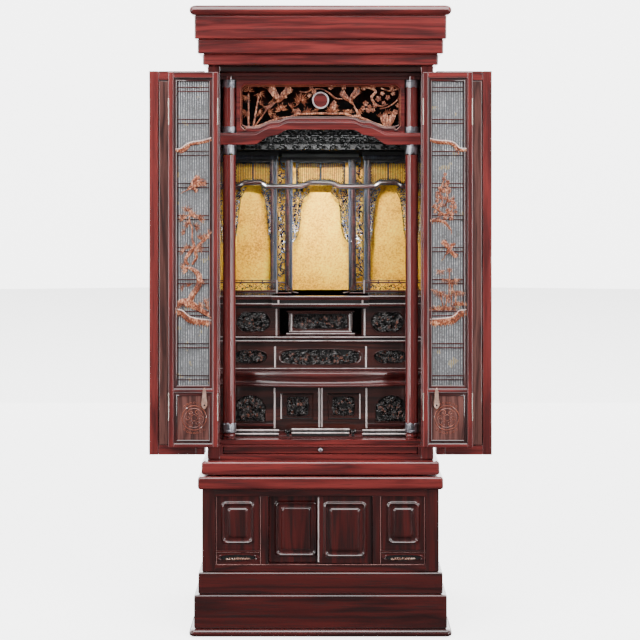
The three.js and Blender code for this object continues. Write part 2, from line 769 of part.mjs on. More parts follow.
// Shelf whose front bows out between its two ends
function makeBowedShelf() {
    const half = jambInner - fitGap;
    const front = at(shelfSetBack);
    const back = cabinetBack - caseBackWall - fitGap;
    const curve = (out, steps = 8) => {
        const points = [];
        for (let i = 0; i <= steps; i += 1) {
            const x = -half + (2 * half * i) / steps;
            const share = x / half;
            points.push(new THREE.Vector2(x, -(front - (shelfBow - out) * (1 - share * share) + out)));
        }
        points.push(new THREE.Vector2(half, -back), new THREE.Vector2(-half, -back));
        return new THREE.Shape(points);
    };
    const slab = (out, z0, z1) => {
        const geometry = new THREE.ExtrudeGeometry(curve(out), { depth: z1 - z0, bevelEnabled: false });
        geometry.scale(1, -1, 1);
        const upright = flipped(geometry);
        upright.translate(0, 0, z0);
        return solidOf(upright);
    };
    const z0 = lowerStepTop;
    const z1 = shelfTop - fitGap;
    const top = slab(0, z1 - 9, z1);
    const body = slab(5, z0 + 5, z1 - 8);
    const foot = slab(1, z0, z0 + 6);
    piece("bowed_shelf", join([top, body, foot]), wood);
}

function makeMiddleStep() {
    const front = at(middleStepSetBack);
    const z0 = shelfTop;
    const z1 = middleStepTop - fitGap;
    let step = stepBox(z0, z1, front);
    const middle = z0 + 34;
    step = carveCartouche(step, 0, middle, 212, 37, front, 2, 18, 9);
    for (const side of [-1, 1]) {
        step = carveCartouche(step, side * 188, middle, 88, 32, front, 2);
        step = step.add(rod(side * 122, front, z0, z1));
    }
    piece("middle_step", step, darkWood);
    const half = jambInner - fitGap - ledgeOut;
    const back = cabinetBack - caseBackWall - fitGap - ledgeOut;
    const ledge = block(-half - ledgeOut, half + ledgeOut, front - ledgeOut, back, middleStepTop,
        ledgeTop - fitGap);
    const groove = block(-half - 20, half + 20, front - ledgeOut - 1, front - ledgeOut + 4,
        middleStepTop + 5, ledgeTop - 6);
    piece("step_ledge", cut(ledge, [groove]), wood);
}

function makeUpperStep() {
    const front = at(upperStepSetBack);
    const z0 = ledgeTop;
    const z1 = upperStepTop - fitGap;
    let step = stepBox(z0, z1, front);
    const recess = block(-recessHalf, recessHalf, front - 1, front + stepBoard + 1, z0 - 1, z1 - 6);
    step = cut(step, [recess]);
    const niche = [
        block(-recessHalf - 10, -recessHalf, front + 2, front + recessDepth, z0, z1 - 2),
        block(recessHalf, recessHalf + 10, front + 2, front + recessDepth, z0, z1 - 2),
        block(-recessHalf - 10, recessHalf + 10, front + recessDepth - 8, front + recessDepth, z0, z1 - 2),
    ];
    step = join([step, ...niche]);
    const middle = z0 + 36;
    for (const side of [-1, 1]) {
        step = carveCartouche(step, side * 181, middle, 88, 54, front, 4, 12, 6);
    }
    piece("upper_step", step, darkWood);

    const pedestalFront = front + 22;
    const half = pedestalHalf;
    const rings = [
        [0, 1], [0.076, 1], [0.09, 0.56], [0.167, 0.56], [0.182, 0], [0.818, 0], [0.833, 0.45], [0.91, 0.45],
        [0.924, 0.9], [1, 0.9],
    ].map(([z, out]) => [z0 + z * pedestalHeight, out * pedestalStep]);
    let pedestal = stacked(rings, half, pedestalFront, pedestalFront + pedestalDepth);
    const middleZ = z0 + pedestalHeight / 2;
    const opening = relief(roundedRect(2 * half - 14, pedestalFieldHeight, 0, 0, middleZ), pedestalFront - 1, 6, 1);
    pedestal = join([cut(pedestal, [opening]),
        knobbed(0, middleZ, 2 * half - 24, pedestalFieldHeight - 6, pedestalFront + 5, 5, 16, 2, 8)]);
    piece("pedestal", pedestal, darkWood);
}

// Platform: three mouldings, its middle standing forward
function makePlatform() {
    const half = jambInner - fitGap;
    const front = at(platformSetBack);
    const back = at(goldSetBack) - fitGap;
    const z0 = upperStepTop;
    const h = platformHeight;
    const layer = (out, low, high) => join([
        block(-half, half, front + platformBreak - out, back, z0 + low, z0 + high),
        block(-recessHalf - 24 - out, recessHalf + 24 + out, front - out, back, z0 + low, z0 + high),
    ]);
    const slab = join([layer(0, 0, h * 0.3), layer(-8, h * 0.25, h * 0.6), layer(4, h * 0.55, h)]);
    piece("altar_platform", slab, wood);
}

// Low railings across the side bays, each with a short return towards the middle
function makeRailings() {
    const z0 = platformTop + fitGap;
    const y = at(railingSetBack);
    const outer = -jambInner + 4;
    const inner = -columnOuterHalf + 4;
    const gap = (x0, x1, low, high) => block(x0, x1, y - 4, y + 4, z0 + low, z0 + high);
    const openings = [gap(outer + 5, inner - 4, 21, 27)];
    const count = 3;
    const wide = (inner - outer - 9) / count;
    for (let i = 0; i < count; i += 1) {
        const x0 = outer + 5 + i * wide;
        openings.push(gap(x0, x0 + wide - 4, 8, 16));
    }
    const parts = [cut(block(outer, inner, y - 3, y + 3, z0 + 2, z0 + 33), openings)];
    parts.push(block(inner - 4, inner + 5, y - 4.5, y + 4.5, z0, z0 + railingHeight));
    for (const height of [2, 27]) {
        parts.push(block(inner, inner + 42, y - 2, y + 2, z0 + height, z0 + height + 5));
    }
    parts.push(block(inner + 36, inner + 42, y - 3, y + 3, z0, z0 + 33));
    pair("altar_railing", join(parts), darkWood);
}

// Shrine screen: beam and columns, two carved strips, and three bays
function makeScreen() {
    const y0 = at(screenSetBack);
    const y1 = y0 + screenThick;
    const z0 = platformTop + fitGap;
    const waveTop = z0 + bayHeight;
    const latticeTop = waveTop + latticeHeight + latticeGap;
    const beamTop = latticeTop + beamHeight + 10;
    const half = jambInner - fitGap;
    const columns = columnOuterHalf + columnWidth;
    const beamDrop = beamTop - 1;
    const parts = [block(-half, half, y0, y1, latticeTop, beamTop)];
    for (const side of [-1, 1]) {
        for (const edge of [columnInnerHalf, columnOuterHalf]) {
            const x = side * (edge + columnWidth / 2);
            parts.push(block(x - columnWidth / 2, x + columnWidth / 2, y0 - 3, y1, z0, beamDrop));
        }
        const stile = side * (half - 4);
        parts.push(block(stile - 4, stile + 4, y0 + 1, y1, z0, beamDrop));
        const stripX = side * (columnInnerHalf + columns) / 2;
        const turns = 6;
        const zigzag = [];
        for (let i = 0; i <= turns; i += 1) {
            zigzag.push([stripX + (i % 2 ? 12 : -12), z0 + 10 + ((waveTop - z0 - 10) * i) / turns]);
        }
        parts.push(stroke(zigzag, [9, 9], y0 + 4, 5, 6));
        parts.push(block(stripX - 16, stripX + 16, y0 + 1, y1 - 2, waveTop - 4, waveTop + waveHeight));
    }
    const sideBay = { x: (half + columns) / 2, half: (half - columns) / 2 };
    const bays = [{ x: 0, half: columnInnerHalf }, sideBay, { x: -sideBay.x, half: sideBay.half }];
    for (const bay of bays) parts.push(...screenBay(bay, half - 2, z0, waveTop, latticeTop, y0));
    piece("shrine_screen", join(parts), darkWood);
}

// One openwork bay: an arch over a pair of spandrels, and a lattice window above
function screenBay(bay, limit, z0, waveTop, latticeTop, y0) {
    const { x, half } = bay;
    const within = (value) => Math.max(-limit, Math.min(limit, value));
    const parts = [];
    const wave = [[-half - 4, 0], [-half * 0.55, 1], [-half * 0.3, waveRise], [half * 0.3, waveRise],
        [half * 0.55, 1], [half + 4, 0]].map(([px, pz]) => [within(x + px), waveTop + 4 + pz]);
    parts.push(stroke(wave, [waveHeight, waveHeight], y0 - 2, screenThick, 8));
    const slats = Math.floor((half - 8) / slatPitch);
    for (let i = -slats; i <= slats; i += 1) {
        const sx = x + i * slatPitch;
        const wide = i === 0 ? 2 * slatWidth : slatWidth;
        parts.push(block(sx - wide / 2, sx + wide / 2, y0 + 4, y0 + 8, waveTop + 4, latticeTop + 1));
    }
    for (const side of [-1, 1]) {
        const edge = within(x + side * (half + 1));
        parts.push(spandrel(x, half, side, edge, waveTop, waveTop - z0, y0));
    }
    return parts;
}

// Carved spandrel down one side of a bay, scalloped where it meets the gold
function spandrel(x, half, side, edge, waveTop, height, y0) {
    const scallops = 3;
    const depth = height * 0.93;
    const reachAt = (t) => half * (0.4 + 0.42 * Math.min(1, t * 1.9) ** 0.8 + 0.1 * t);
    const points = [new THREE.Vector2(edge, waveTop + 2), new THREE.Vector2(x + side * half * 0.36, waveTop + 2)];
    for (let i = 0; i <= scallops * 2; i += 1) {
        const t = i / (scallops * 2);
        const tooth = i % 2 ? 3 : -1.5;
        points.push(new THREE.Vector2(x + side * (reachAt(t) + tooth), waveTop - t * depth));
    }
    points.push(new THREE.Vector2(edge, waveTop - depth));
    const holes = [0.16].map((t) => {
        const room = Math.abs(edge - x) - reachAt(t);
        const centre = x + side * (reachAt(t) + room * 0.55);
        return relief(lobed(room * 0.4, 26, 0, centre, waveTop - t * depth - 12, 0, 4), y0, 12);
    });
    return cut(relief(new THREE.Shape(points), y0 + 3, 5, 1), holes);
}

function makeGoldBoard() {
    const half = jambInner - fitGap;
    const y0 = at(goldSetBack);
    piece("gold_back_board", block(-half, half, y0, y0 + goldThick, platformTop + fitGap,
        ceilingBottom - 60), goldLeaf);
}

// Canopy: stepped beams over the screen with rows of small brackets
function makeCanopy() {
    const half = jambInner - fitGap;
    const z0 = ceilingBottom - canopyDrop;
    const back = at(screenSetBack) - 4;
    const rise = canopyHeight / 3;
    const parts = [];
    for (let row = 0; row < 3; row += 1) {
        const front = back - canopyDepth * (0.46 + row * 0.27);
        const low = z0 + row * rise;
        parts.push(block(-half, half, front, back - row, low + rise * 0.35, low + rise + 1));
        for (let i = 0; i < bracketCount; i += 1) {
            const x = -half + bracketInset + (2 * (half - bracketInset) * i) / (bracketCount - 1);
            parts.push(block(x - bracketHalfWidth, x + bracketHalfWidth, front - bracketOut,
                front + canopyDepth * 0.3, low, low + rise * 0.8));
        }
    }
    piece("canopy", join(parts), darkWood);
}

// Floor rails: two plain bars and a middle one with turned knobs at its ends
function makeFloorRails() {
    const y = at(floorRailSetBack);
    const z0 = altarFloor + fitGap;
    const high = floorRailHeight;
    const bar = (x0, x1, lift) => {
        const low = z0 + lift;
        const shape = ringOf(rectangle(x0, x1, low, low + high),
            rectangle(x0 + 6, x1 - 6, low + high * 0.36, low + high * 0.62));
        const feet = [x0, x1 - 6].map((x) => block(x, x + 6, y - 4, y + 4, z0, low + 1));
        return join([relief(shape, y - 5, 10, 1), ...feet]);
    };
    pair("floor_rail", bar(-sideRailOuter, -sideRailInner, floorRailLift / 2), wood);
    const knob = [[0, 0], [0.6, 0], [0.4, 0.2], [1, 0.45], [0.4, 0.7], [0.8, 0.9], [0, 1]]
        .map(([radius, along]) => [radius * railKnobRadius, along * railKnobLength]);
    const ends = [-1, 1].map((side) => {
        const points = knob.map(([radius, along]) => new THREE.Vector2(radius, along));
        const geometry = new THREE.LatheGeometry(points, 6);
        geometry.rotateZ(-side * Math.PI / 2);
        geometry.translate(side * (middleRailHalf - 1), y, z0 + floorRailLift + high / 2);
        return solidOf(geometry);
    });
    piece("floor_rail_middle", join([bar(-middleRailHalf, middleRailHalf, floorRailLift), ...ends]), wood);
}

// Outer leaf, shut, from its pivot edge x0 to x1: a frame round a panel sunk on both faces
function outerLeaf(x0, x1, y0) {
    const z0 = caseBottom + outerBottom;
    const z1 = caseTop - outerTopClear;
    const leafBoard = block(x0, x1, y0, y0 + outerThick, z0, z1);
    const wide = x1 - x0 - 2 * outerFrameWidth;
    const high = z1 - z0 - outerFrameWidth - outerBottomRail;
    const x = (x0 + x1) / 2;
    const z = z0 + outerBottomRail + high / 2;
    const sink = 7;
    return cut(leafBoard, [
        relief(roundedRect(wide, high, 12, x, z), y0 - 1, sink + 1, 2),
        relief(roundedRect(wide, high, 12, x, z), y0 + outerThick - sink, sink + 1, 2),
    ]);
}

// Hinge barrels along a pivot, let into the edge of the leaf beside it
function barrels(x, y, heights) {
    return heights.map((z) => turned([[0, 0], [barrelRadius, 0], [barrelRadius, barrelLength],
        [0, barrelLength]], x, y, z - barrelLength / 2, barrelSides));
}

const outerPivotX = upperHalfWidth + outerPivotOut;
const outerLeafWidth = (outerPivotX - outerEdge - foldGap - meetGap) / 2;
const innerLeafWidth = (jambInner - innerEdge - foldGap - meetGap) / 2;

function makeOuterDoors(side) {
    const name = side < 0 ? "left" : "right";
    const hinge = new THREE.Group();
    hinge.position.set(side * outerPivotX, jambFront - outerPivotFront, 0);
    hinge.rotation.z = side * doorsOpen;
    altar.add(hinge);
    const flip = (solid) => (side < 0 ? solid : mirrored(solid));
    const y0 = -outerPivotFront - outerThick;
    const nearLeaf = outerLeaf(outerEdge, outerEdge + outerLeafWidth, y0);
    const z0 = caseBottom + outerBottom;
    const z1 = caseTop - outerTopClear;
    const heights = [z0 + 90, (z0 + z1) / 2, z1 - 90];
    const link = (z) => block(0, outerEdge + 8, -outerPivotFront - 1, -outerPivotFront + 0.6,
        z - barrelLength / 2, z + barrelLength / 2);
    const plates = heights.map(link);
    piece(`outer_door_${name}_hung`, flip(join([nearLeaf, ...plates, ...barrels(0, 0, heights)])), wood, hinge);
    const fold = new THREE.Group();
    const foldX = outerEdge + outerLeafWidth + foldGap / 2;
    fold.position.set(-side * foldX, y0 - foldGap / 2, 0);
    fold.rotation.z = side * doorsOpen;
    hinge.add(fold);
    const farLeaf = outerLeaf(foldGap / 2, foldGap / 2 + outerLeafWidth, foldGap / 2);
    piece(`outer_door_${name}_folded`, flip(farLeaf), wood, fold);
}

// Inner leaf frame, shut: stiles, rails, lattice bars, and a sunk lower panel with a ring
function innerFrame(x0, x1, y0) {
    const z0 = caseBottom + innerBottom;
    const z1 = caseTop - innerTopClear;
    const x = (x0 + x1) / 2;
    const half = (x1 - x0) / 2 - innerFrameWidth;
    const panelLow = z0 + innerBottomRail;
    const panelHigh = panelLow + innerLowPanel;
    const gauzeLow = panelHigh + innerMidRail;
    const gauzeHigh = z1 - innerRailHeight;
    const parts = [cut(block(x0, x1, y0, y0 + innerThick, z0, z1), [
        block(x - half, x + half, y0 - 1, y0 + innerThick + 1, gauzeLow, gauzeHigh),
        block(x - half, x + half, y0 - 1, y0 + lowPanelSink, panelLow, panelHigh),
        block(x - half, x + half, y0 + innerThick - lowPanelSink, y0 + innerThick + 1, panelLow, panelHigh),
    ])];
    const pitch = (gauzeHigh - gauzeLow) / (latticeBars - 0.5);
    for (let i = 0; i < latticeBars; i += 1) {
        const z = gauzeHigh - barMargin - i * pitch;
        parts.push(block(x - half - 1, x + half + 1, y0 + barSink, y0 + barSink + barThick, z - barHeight, z));
    }
    const ringZ = (panelLow + panelHigh) / 2;
    const across = half * 1.5;
    const ring = ringOf(lobed(across, across, 0, x, ringZ, 0), lobed(across - 14, across - 14, 0, x, ringZ, 0));
    parts.push(relief(ring, y0 + 1.5, lowPanelSink, 1));
    parts.push(knobbed(x, ringZ, across * 0.7, across * 0.7, y0 + lowPanelSink, 3.5, 8, 2, 4));
    return { solid: join(parts), x, half, gauzeLow, gauzeHigh };
}

// Gauze behind the lattice, pleated by the slats that stand before it
function gauzePanel(frame, y0) {
    const { x, half, gauzeLow, gauzeHigh } = frame;
    const wide = half - fitGap;
    const points = [];
    for (let i = 0; i <= 2 * gauzeSlats; i += 1) {
        points.push(new THREE.Vector2(-wide + (i * wide) / gauzeSlats, i % 2 ? slatProud : 0));
    }
    points.push(new THREE.Vector2(wide, -gauzeThick), new THREE.Vector2(-wide, -gauzeThick));
    const geometry = new THREE.ExtrudeGeometry(new THREE.Shape(points.reverse()),
        { depth: gauzeHigh - gauzeLow - 2 * fitGap, bevelEnabled: false });
    geometry.scale(1, -1, 1);
    const upright = flipped(geometry);
    upright.translate(x, y0 + barSink + barThick + fitGap + slatProud, gauzeLow + fitGap);
    return solidOf(upright);
}

// Carving before the lattice: branch rail, bird, tree or blossom and bamboo, and the ground ledge
function doorCarving(frame, y0, pine) {
    const { x, half, gauzeLow, gauzeHigh } = frame;
    const height = gauzeHigh - gauzeLow;
    const reach = half - fitGap;
    const front = y0 + 0.5;
    const px = (share) => x + share * reach;
    const pz = (share) => gauzeLow + share * height;
    const rail = stroke([[px(-1), pz(0.783)], [px(-0.4), pz(0.785)], [px(0.1), pz(0.812)],
        [px(1), pz(0.82)]], [12, 9, 9, 14], front, carvedThick, 6);
    const ledge = stroke([[px(-1), pz(0.257)], [px(-0.35), pz(0.245)], [px(0.2), pz(0.222)],
        [px(1), pz(0.206)]], [18, 18, 15, 13], front, carvedThick, 6);
    const spine = block(x - 1.4, x + 1.4, front + 1.5, front + carvedThick - 0.2, pz(0.23), pz(0.8));
    const parts = [rail, ledge, spine];
    if (pine) parts.push(...pineTree(px, pz, front));
    else parts.push(...plumAndBamboo(px, pz, front));
    parts.push(...flyingBird(x, pine ? pz(0.68) : pz(0.46), 1, 66, front));
    const window = block(px(-1), px(1), front, front + carvedThick, gauzeLow, gauzeHigh);
    return join(parts).intersect(window);
}

function pineTree(px, pz, front) {
    const parts = [stroke([[px(-0.3), pz(0.25)], [px(0.25), pz(0.35)], [px(0.45), pz(0.42)],
        [px(-0.1), pz(0.48)], [px(-0.2), pz(0.54)], [px(0.2), pz(0.6)]], [20, 15, 12, 10, 8, 3], front,
        carvedThick, 8)];
    for (const [sx, sz] of [[-0.5, 0.34], [0.66, 0.43], [-0.5, 0.47], [0.4, 0.52], [-0.5, 0.56], [0.1, 0.61]]) {
        parts.push(stroke([[px(0), pz(sz - 0.02)], [px(sx * 1.5), pz(sz)]], [6, 28], front + 0.5, carvedThick - 1, 1));
    }
    return parts;
}

function plumAndBamboo(px, pz, front) {
    const parts = [stroke([[px(0), pz(0.5)], [px(0.2), pz(0.56)], [px(-0.3), pz(0.62)], [px(0.1), pz(0.68)],
        [px(-0.1), pz(0.74)]], [10, 9, 8, 6, 3], front, carvedThick, 7)];
    for (const [sx, sz] of [[-0.5, 0.58], [0.5, 0.62], [-0.5, 0.68], [0.3, 0.72]]) {
        parts.push(stroke([[px(0), pz(sz - 0.015)], [px(sx * 1.4), pz(sz)]], [5, 24], front + 0.5, carvedThick - 1, 1));
    }
    for (const [foot, top] of [[-0.45, -0.3], [0.45, 0.35]]) {
        parts.push(stroke([[px(foot), pz(0.225 - 0.03 * foot)], [px(top), pz(0.4)]], [8, 5], front, carvedThick, 1));
        const leafTip = px(0.9 * Math.sign(top));
        parts.push(stroke([[px((foot + top) / 2), pz(0.32)], [leafTip, pz(0.35)]], [14, 3], front + 0.5,
            carvedThick - 1, 1));
    }
    return parts;
}

function makeInnerDoors(side) {
    const name = side < 0 ? "left" : "right";
    const pine = side < 0;
    const flip = (solid) => (side < 0 ? solid : mirrored(solid));
    const hinge = new THREE.Group();
    hinge.position.set(side * jambInner, jambFront, 0);
    hinge.rotation.z = side * doorsOpen;
    altar.add(hinge);
    const near = innerFrame(innerEdge, innerEdge + innerLeafWidth, innerSetBack);
    piece(`lattice_door_${name}_hung`, flip(near.solid), wood, hinge);
    piece(`gauze_${name}_hung`, flip(gauzePanel(near, innerSetBack)), gauze, hinge);
    piece(`carving_${name}_hung`, flip(doorCarving(near, innerSetBack, !pine)), carvedWood, hinge);

    const fold = new THREE.Group();
    const foldX = innerEdge + innerLeafWidth + foldGap / 2;
    fold.position.set(-side * foldX, innerSetBack + innerThick + foldGap / 2, 0);
    fold.rotation.z = -side * doorsOpen;
    hinge.add(fold);
    const y0 = -foldGap / 2 - innerThick;
    const far = innerFrame(foldGap / 2, foldGap / 2 + innerLeafWidth, y0);
    piece(`lattice_door_${name}_folded`, flip(far.solid), wood, fold);
    piece(`gauze_${name}_folded`, flip(gauzePanel(far, y0)), gauze, fold);
    piece(`carving_${name}_folded`, flip(doorCarving(far, y0, pine)), carvedWood, fold);

    const pullX = foldGap / 2 + innerLeafWidth - pullInset;
    const pullZ = far.gauzeLow - pullDrop;
    const plate = relief(lobed(pullWidth, pullHeight, 2, pullX, pullZ, 0.08, 10), y0 - fitGap - pullThick, pullThick);
    const hole = relief(lobed(6, 8, 0, pullX, pullZ + 15, 0, 6), y0 - 10, 12);
    piece(`drop_pull_${name}`, flip(cut(plate, [hole])), pullMetal, fold);
}

makePlinth();
makeLowerCase();
makeLowerPanels();
makeSlidingDoors();
makeBoards();
makeAltarCase();
makeCornice();
makeTransom();
makeTransomCarving();
makePosts();
makeLowerStep();
makeBowedShelf();
makeMiddleStep();
makeUpperStep();
makePlatform();
makeRailings();
makeScreen();
makeGoldBoard();
makeCanopy();
makeFloorRails();
for (const side of [-1, 1]) {
    makeOuterDoors(side);
    makeInnerDoors(side);
}

export default altar;
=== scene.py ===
import math

import bmesh
import bpy
import numpy as np
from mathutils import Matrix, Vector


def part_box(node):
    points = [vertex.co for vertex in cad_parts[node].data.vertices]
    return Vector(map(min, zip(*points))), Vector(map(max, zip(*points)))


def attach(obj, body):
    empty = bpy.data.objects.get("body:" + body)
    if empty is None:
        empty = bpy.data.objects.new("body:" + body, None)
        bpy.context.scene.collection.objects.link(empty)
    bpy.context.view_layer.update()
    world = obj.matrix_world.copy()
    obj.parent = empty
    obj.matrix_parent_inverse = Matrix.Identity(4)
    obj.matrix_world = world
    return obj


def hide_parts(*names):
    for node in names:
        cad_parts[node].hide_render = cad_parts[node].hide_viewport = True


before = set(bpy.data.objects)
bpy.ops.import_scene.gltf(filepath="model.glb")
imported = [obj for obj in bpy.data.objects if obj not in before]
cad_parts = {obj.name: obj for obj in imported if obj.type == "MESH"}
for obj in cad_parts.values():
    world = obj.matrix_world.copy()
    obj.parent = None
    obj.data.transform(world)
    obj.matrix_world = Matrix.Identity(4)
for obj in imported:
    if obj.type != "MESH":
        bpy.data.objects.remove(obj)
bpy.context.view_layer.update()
millimetre = 0.001

# The photograph's camera: level, with the picture shifted down
view = {"x": 0, "y": -4705, "z": 1144, "lens": 98.57, "sensor": 36, "shiftX": -0.0008, "shiftY": -0.2109,
        "pictureSide": 640, "eyeColumn": 320.5, "eyeRow": 185}


# The camera stands level at the place worked out from the picture, and keeps its lens and shift
def makeCamera():
    data = bpy.data.cameras.new("photoCamera")
    data.lens = view["lens"]
    data.sensor_width = view["sensor"]
    data.shift_x = view["shiftX"]
    data.shift_y = view["shiftY"]
    data.clip_end = 60
    camera = bpy.data.objects.new("photoCamera", data)
    camera.location = [view[axis] * millimetre for axis in "xyz"]
    camera.rotation_euler = (math.radians(90), 0, 0)
    bpy.context.scene.collection.objects.link(camera)
    bpy.context.scene.camera = camera



makeCamera()
print("camera set")


# Collects surfaces for one mesh. turned takes a point half round the upright line (x, y) / 2, and
# mirrored takes it to the other side of the middle plane.
class Shell:
    def __init__(self, turned=None, mirrored=False):
        self.points = []
        self.faces = []
        self.marks = []
        self.count = 0
        self.turned = turned
        self.mirrored = mirrored

    def add(self, points, faces, mark=0):
        points = np.array(points, float).reshape(-1, 3)
        if self.turned:
            points[:, 0] = self.turned[0] - points[:, 0]
            points[:, 1] = self.turned[1] - points[:, 1]
        if self.mirrored:
            points[:, 0] *= -1
        self.points.append(points * millimetre)
        self.faces.append(np.asarray(faces, int) + self.count)
        self.marks.append(mark)
        self.count += len(points)


# A mesh from point and face arrays, faces out, smooth but for edges sharper than the angle
def meshOf(name, points, faces, marks, angle):
    mesh = bpy.data.meshes.new(name)
    sizes = np.concatenate([np.full(len(part), part.shape[1]) for part in faces])
    loops = np.concatenate([part.ravel() for part in faces])
    slots = np.concatenate([np.full(len(part), mark) for part, mark in zip(faces, marks)])
    mesh.vertices.add(len(points))
    mesh.vertices.foreach_set("co", points.ravel())
    mesh.loops.add(len(loops))
    mesh.loops.foreach_set("vertex_index", loops)
    mesh.polygons.add(len(sizes))
    mesh.polygons.foreach_set("loop_start", np.concatenate([[0], np.cumsum(sizes)[:-1]]))
    mesh.polygons.foreach_set("material_index", slots)
    mesh.update(calc_edges=True)
    mesh.validate()
    work = bmesh.new()
    work.from_mesh(mesh)
    bmesh.ops.remove_doubles(work, verts=work.verts, dist=1e-6)
    bmesh.ops.recalc_face_normals(work, faces=work.faces)
    work.to_mesh(mesh)
    work.free()
    mesh.polygons.foreach_set("use_smooth", np.ones(len(mesh.polygons), bool))
    mesh.set_sharp_from_angle(angle=math.radians(angle))
    return mesh


# A thin pale strip along an upper front edge, its top at z: a painted highlight
def paintedHighlightStrip(shell, x0, x1, y, z, mark, height=2.3):
    roundBox(shell, x0, x1, y - 0.3, y + 9, z - height, z + 0.06, 1.0, mark)


# Finishes a shell as a piece: its mesh, materials, body and the nodes it stands for
def finishPiece(name, shell, materials, body, replaced=(), angle=40):
    materials = materials if isinstance(materials, (list, tuple)) else [materials]
    mesh = meshOf(name, np.concatenate(shell.points), shell.faces, shell.marks, angle)
    for material in materials:
        mesh.materials.append(material)
    piece = bpy.data.objects.new(name, mesh)
    bpy.context.scene.collection.objects.link(piece)
    weighted = piece.modifiers.new("flatFaces", "WEIGHTED_NORMAL")
    weighted.keep_sharp = True
    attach(piece, body)
    if replaced:
        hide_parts(*replaced)
    return piece


# The quads between neighbours of a grid of points, rows by columns
def gridFaces(rows, columns, closeColumns=True):
    row = np.arange(rows - 1)
    column = np.arange(columns if closeColumns else columns - 1)
    row, column = np.meshgrid(row, column, indexing="ij")
    after = (column + 1) % columns
    corners = [row * columns + column, row * columns + after, (row + 1) * columns + after,
               (row + 1) * columns + column]
    return np.stack(corners, -1).reshape(-1, 4)


# A loop closed by a fan of triangles round its middle
def closeLoop(shell, loop, mark):
    ring = np.arange(len(loop))
    faces = np.stack([ring, (ring + 1) % len(ring), np.full(len(ring), len(ring))], -1)
    shell.add(np.concatenate([loop, loop.mean(0, keepdims=True)]), faces, mark)


# A closed skin over a row of closed loops, each end shut by a fan
def loft(shell, loops, mark=0, caps=True):
    loops = np.asarray(loops, float)
    rows, columns = loops.shape[:2]
    shell.add(loops, gridFaces(rows, columns), mark)
    if caps:
        closeLoop(shell, loops[0], mark)
        closeLoop(shell, loops[-1], mark)


# A polygon with each corner rounded: a quadratic curve from one side to the next
def rounded(corners, radii, steps=3):
    corners = np.asarray(corners, float)
    radii = np.broadcast_to(np.asarray(radii, float), len(corners))
    before = np.roll(corners, 1, 0) - corners
    after = np.roll(corners, -1, 0) - corners
    lengthBefore = np.linalg.norm(before, axis=1)
    lengthAfter = np.linalg.norm(after, axis=1)
    reach = np.minimum(radii, 0.45 * np.minimum(lengthBefore, lengthAfter))
    start = corners + before / lengthBefore[:, None] * reach[:, None]
    end = corners + after / lengthAfter[:, None] * reach[:, None]
    t = np.linspace(0, 1, steps + 1)[None, :, None]
    curve = start[:, None] * (1 - t) ** 2 + 2 * corners[:, None] * t * (1 - t) + end[:, None] * t ** 2
    return curve.reshape(-1, 2)


# Outline of a rectangle with rounded corners, in x and z: quarter arcs in turn, from the right top
def roundedOutline(x0, x1, z0, z1, radius, steps=6):
    radius = max(0.01, min(radius, (x1 - x0) / 2 - 0.01, (z1 - z0) / 2 - 0.01))
    turn = np.linspace(0, math.pi / 2, steps + 1)
    angle = np.concatenate([turn + quarter * math.pi / 2 for quarter in range(4)])
    cornerX = np.repeat([x1 - radius, x0 + radius, x0 + radius, x1 - radius], steps + 1)
    cornerZ = np.repeat([z1 - radius, z1 - radius, z0 + radius, z0 + radius], steps + 1)
    return np.stack([cornerX + radius * np.cos(angle), cornerZ + radius * np.sin(angle)], -1)


# An outline in x and z set upright at depth y
def upright(outline, y):
    return np.stack([outline[:, 0], np.full(len(outline), y), outline[:, 1]], -1)


# A board whose front is a run of rounded rectangles: rings of (inset, corner radius, depth)
def fieldedBoard(shell, box, rings, mark=0):
    (x0, y0, z0), (x1, y1, z1) = box
    loops = [upright(roundedOutline(x0, x1, z0, z1, 0.2), y1)]
    for inset, radius, depth in rings:
        outline = roundedOutline(x0 + inset, x1 - inset, z0 + inset, z1 - inset, radius)
        loops.append(upright(outline, y0 + depth))
    loft(shell, loops, mark)


# A box with rounded edges, lofted along x: the section shrinks on a quarter circle at both ends
def roundBox(shell, x0, x1, y0, y1, z0, z1, radius=1.5, mark=0, steps=2):
    radius = min(radius, 0.45 * min(x1 - x0, y1 - y0, z1 - z0))
    angle = np.linspace(0, math.pi / 2, steps + 1)
    inset = radius * (1 - np.sin(angle))
    along = radius * (1 - np.cos(angle))
    stations = [(x0 + a, i) for a, i in zip(along, inset)] + [(x1 - a, i) for a, i in zip(along, inset)][::-1]
    loops = []
    for x, shrink in stations:
        outline = roundedOutline(y0 + shrink, y1 - shrink, z0 + shrink, z1 - shrink, radius - shrink, steps)
        loops.append(np.stack([np.full(len(outline), x), outline[:, 0], outline[:, 1]], -1))
    loft(shell, loops, mark)


# A closed section of (inset, depth) carried round a rectangle, mitred at its corners.
# Marks: 0 for the upright sides, 1 for the level ones.
def mitredFrame(shell, x0, x1, z0, z1, section, y=0, marks=(0, 1)):
    section = np.asarray(section, float)
    inset, depth = section[:, 0], section[:, 1] + y
    loops = np.stack([
        np.stack([x0 + inset, depth, z0 + inset], -1), np.stack([x1 - inset, depth, z0 + inset], -1),
        np.stack([x1 - inset, depth, z1 - inset], -1), np.stack([x0 + inset, depth, z1 - inset], -1),
    ])
    count = len(section)
    ring = np.arange(count)
    after = (ring + 1) % count
    for side in range(4):
        pair = loops[[side, (side + 1) % 4]]
        faces = np.stack([ring, after, count + after, count + ring], -1)
        shell.add(pair, faces, marks[1] if side % 2 == 0 else marks[0])


